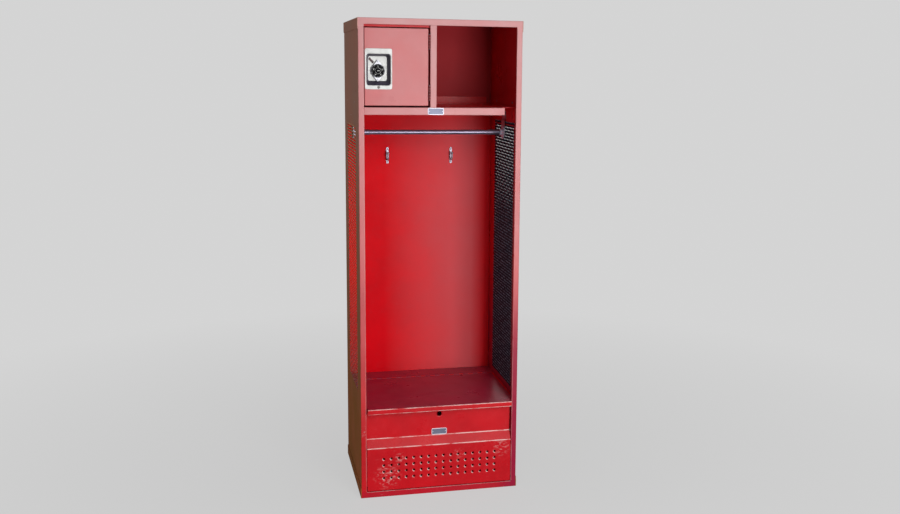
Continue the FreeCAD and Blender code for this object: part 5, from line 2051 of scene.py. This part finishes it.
@dataclass
class BarePlates(SubAssembly):
    """The two small plates on the shelf's lip and the foot locker, each left bare."""

    half: Pair = (30.0, 12.5)
    corner: float = 5.0
    thick: float = 1.5
    rim: float = 2.4
    sunk: float = 0.5
    rivet: Pair = (1.5, 0.6)  # radius and height
    rivet_inset: float = 5.2
    shelf: Triple = (-21.0, -241.0, 1477.25)  # middle, on the face behind it
    bench: Triple = (0.0, -221.0, 242.5)

    def plate(self, middle: Triple) -> list[Skin]:
        """One plate.

        Args:
            middle: Its middle on the face behind it.

        Returns:
            Outlines up its rounded rim and down to the sunk middle, which takes the second finish, and two
            rivets.
        """
        x, y, z = middle
        wide, high = self.half
        outline = rounded_box_loop((x - wide, x + wide, z - high, z + high), self.corner, 6)
        face = y - self.thick
        floor = face + self.sunk
        insets = (0.0, 0.0, 0.15, 0.5, self.rim - 0.4, self.rim)
        whole = raised(outline, insets, (y, face + 0.5, face + 0.15, face, face, floor))
        rim = replace(whole, caps=whole.caps[:1])
        sunk = replace(whole, quads=whole.quads[:0], caps=whole.caps[1:], paint=1)
        spread = wide - self.rivet_inset
        rivets = [(x + side * spread, floor + 0.1, z) for side in (-1.0, 1.0)]
        return [rim, sunk, *heads(rivets, self.rivet, Axis.Y, 16)]

    def build(self) -> None:
        """Place both plates."""
        satin, body = [self.finishes.satin, self.finishes.sunk], Body.CABINET
        place("rimmed_shelf_plate", self.plate(self.shelf), satin, body, Slot.SATIN, ["shelf_plate"])
        place("rimmed_bench_plate", self.plate(self.bench), satin, body, Slot.SATIN, ["bench_plate"])


@dataclass(frozen=True)
class Lamp:
    """A soft area lamp."""

    name: str
    place: Triple
    aim: Triple
    size: Pair
    radiance: float  # brightness of its face

    def build(self) -> None:
        """Add the lamp: its power is radiance times pi times its area."""
        data = bpy.data.lights.new(self.name, "AREA")
        data.shape = "RECTANGLE"
        data.size, data.size_y = self.size
        data.energy = self.radiance * math.pi * self.size[0] * self.size[1]
        lamp = bpy.data.objects.new(self.name, data)
        lamp.location = self.place
        way = Vector(self.aim) - Vector(self.place)
        lamp.rotation_euler = way.to_track_quat("-Z", "Y").to_euler()
        lamp.visible_camera = False
        bpy.context.collection.objects.link(lamp)


@dataclass
class Studio:
    """Camera, floor, lamps and the pale surroundings."""

    eye: Triple = (-0.73347, -4.12366, 1.63179)
    right: Triple = (0.971076, -0.238399, 0.013281)
    up: Triple = (0.026037, 0.161021, 0.986608)
    forward: Triple = (0.237345, 0.957726, -0.162570)
    lens: float = 42.5678
    sensor: float = 36.0
    shift: Pair = (-0.05556, -0.01333)  # of the image's width
    pale: float = 0.66  # surroundings
    fill: float = 0.28  # light from all round
    dim: Pair = (0.02, 0.5)  # room on the camera's side, left and right, in gloss
    warm: Colour = (0.50, 0.31, 0.16)  # room on the left, in gloss
    # Parts of a ray's direction between which the room changes, across, back or up
    room_turn: Pair = (0.08, 0.34)
    side_turn: Pair = (-0.25, 0.25)
    floor_line: Pair = (-0.36, -0.24)
    floor_dim: float = 0.2  # of the room's grey
    warm_across: Pair = (-0.10, 0.0)
    warm_behind: Pair = (0.0, 0.2)
    floor_radius: float = 14.0
    floor_level: float = -0.2  # in millimetres
    floor_tone: Pair = (0.60, 0.62)
    glow: float = 0.80  # of the floor beside the locker, as the camera sees it
    glow_reach: Pair = (0.5, 3.0)  # distances over which it grows to all
    fade_reach: Pair = (3.0, 9.0)  # distances over which the floor goes clear
    lamps: tuple[Lamp, ...] = (
        Lamp("high_softbox", (1.0, -3.9, 2.7), (0.0, -0.1, 1.2), (2.2, 1.7), 4.6),
        Lamp("low_softbox", (0.75, -3.6, 0.8), (0.0, -0.1, 0.8), (1.0, 1.5), 12.5),
    )

    def camera(self) -> None:
        """Add the camera and make it the scene's."""
        data = bpy.data.cameras.new("camera")
        data.lens = self.lens
        data.sensor_width = self.sensor
        data.sensor_fit = "HORIZONTAL"
        data.shift_x, data.shift_y = self.shift
        camera = bpy.data.objects.new("camera", data)
        columns = [Vector(self.right), Vector(self.up), -Vector(self.forward)]
        camera.matrix_world = Matrix.Translation(self.eye) @ Matrix(columns).transposed().to_4x4()
        bpy.context.collection.objects.link(camera)
        bpy.context.scene.camera = camera

    def world(self) -> None:
        """Light from all round: pale where it is seen or mirrored from behind, dim for the rest."""
        world = bpy.data.worlds.new("surroundings")
        world.use_nodes = True
        bpy.context.scene.world = world
        graph = Graph(world.node_tree)
        shader = world.node_tree.nodes["Background"]
        path = graph.add("ShaderNodeLightPath").outputs
        aside, behind, rise = graph.parts(graph.add("ShaderNodeTexCoord").outputs["Generated"])
        low = graph.span(rise, *self.floor_line, self.floor_dim, 1.0)
        front = graph.product(graph.span(aside, *self.room_turn, *self.dim), low)
        room = graph.grey(graph.span(behind, *self.side_turn, front, self.pale))
        left = graph.span(aside, *self.warm_across, 1.0, 0.0)
        room = graph.blend(graph.product(left, graph.span(behind, *self.warm_behind)), room, self.warm)
        plain = graph.blend(path["Is Camera Ray"], (self.fill,) * 3, (self.pale,) * 3)
        gloss = graph.largest(path["Is Glossy Ray"], path["Is Transmission Ray"])
        graph.feed(shader, {"Color": graph.blend(gloss, plain, room), "Strength": 1.0})

    def floor_material(self) -> Material:
        """Pale matt floor.

        Returns:
            The material, which fades into the surroundings away from the locker.
        """
        graph = Surface("studio_floor")
        where = graph.place()
        grey = graph.grey(graph.clouds(where, 2.0, *self.floor_tone, 3.0))
        graph.feed(graph.shader, {"Base Color": grey, "Roughness": 0.9, "Specular IOR Level": 0.1})
        glow = graph.add("ShaderNodeEmission", {"Color": (self.pale,) * 3, "Strength": 1.0})
        clear = graph.add("ShaderNodeBsdfTransparent")
        far = graph.far(where)
        path = graph.add("ShaderNodeLightPath").outputs
        seen = graph.product(path["Is Camera Ray"], graph.span(far, *self.glow_reach, self.glow, 1.0))
        lit = graph.add("ShaderNodeMixShader", {0: seen, 1: graph.shader.outputs[0], 2: glow.outputs[0]})
        open_share = graph.largest(graph.span(far, *self.fade_reach), path["Is Glossy Ray"])
        gone = graph.add("ShaderNodeMixShader", {0: open_share, 1: lit.outputs[0], 2: clear.outputs[0]})
        graph.feed(graph.tree.nodes["Material Output"], {"Surface": gone.outputs[0]})
        return graph.material

    def floor(self) -> None:
        """Add the floor: a disc just under the locker's feet."""
        rim = circle(self.floor_radius / MM, 96)
        points = np.column_stack([rim, np.full(len(rim), self.floor_level)])
        skin = Skin(points, np.empty((0, 4), dtype=int), [np.arange(len(rim))])
        disc = bpy.data.objects.new("floor", mesh_of("floor", [skin]))
        disc.data.materials.append(self.floor_material())
        bpy.context.collection.objects.link(disc)

    def build(self) -> None:
        """Set up the whole studio."""
        self.camera()
        self.world()
        self.floor()
        for lamp in self.lamps:
            lamp.build()
        bpy.context.scene.view_settings.view_transform = "Standard"
        log.info("studio with %d lamps", len(self.lamps))


def main() -> None:
    """Build every sub-assembly, then the studio."""
    finishes = Finishes(Effects())
    kinds = [Cabinet, MeshSides, FootLocker, SeatDeck, LockBoxDoor]
    kinds += [CombinationLock, CoatRod, CoatHooks, BarePlates]
    for kind in kinds:
        log.info("building %s", kind.__name__)
        kind(finishes).build()
    Studio().build()


if __name__ == "__main__":
    main()
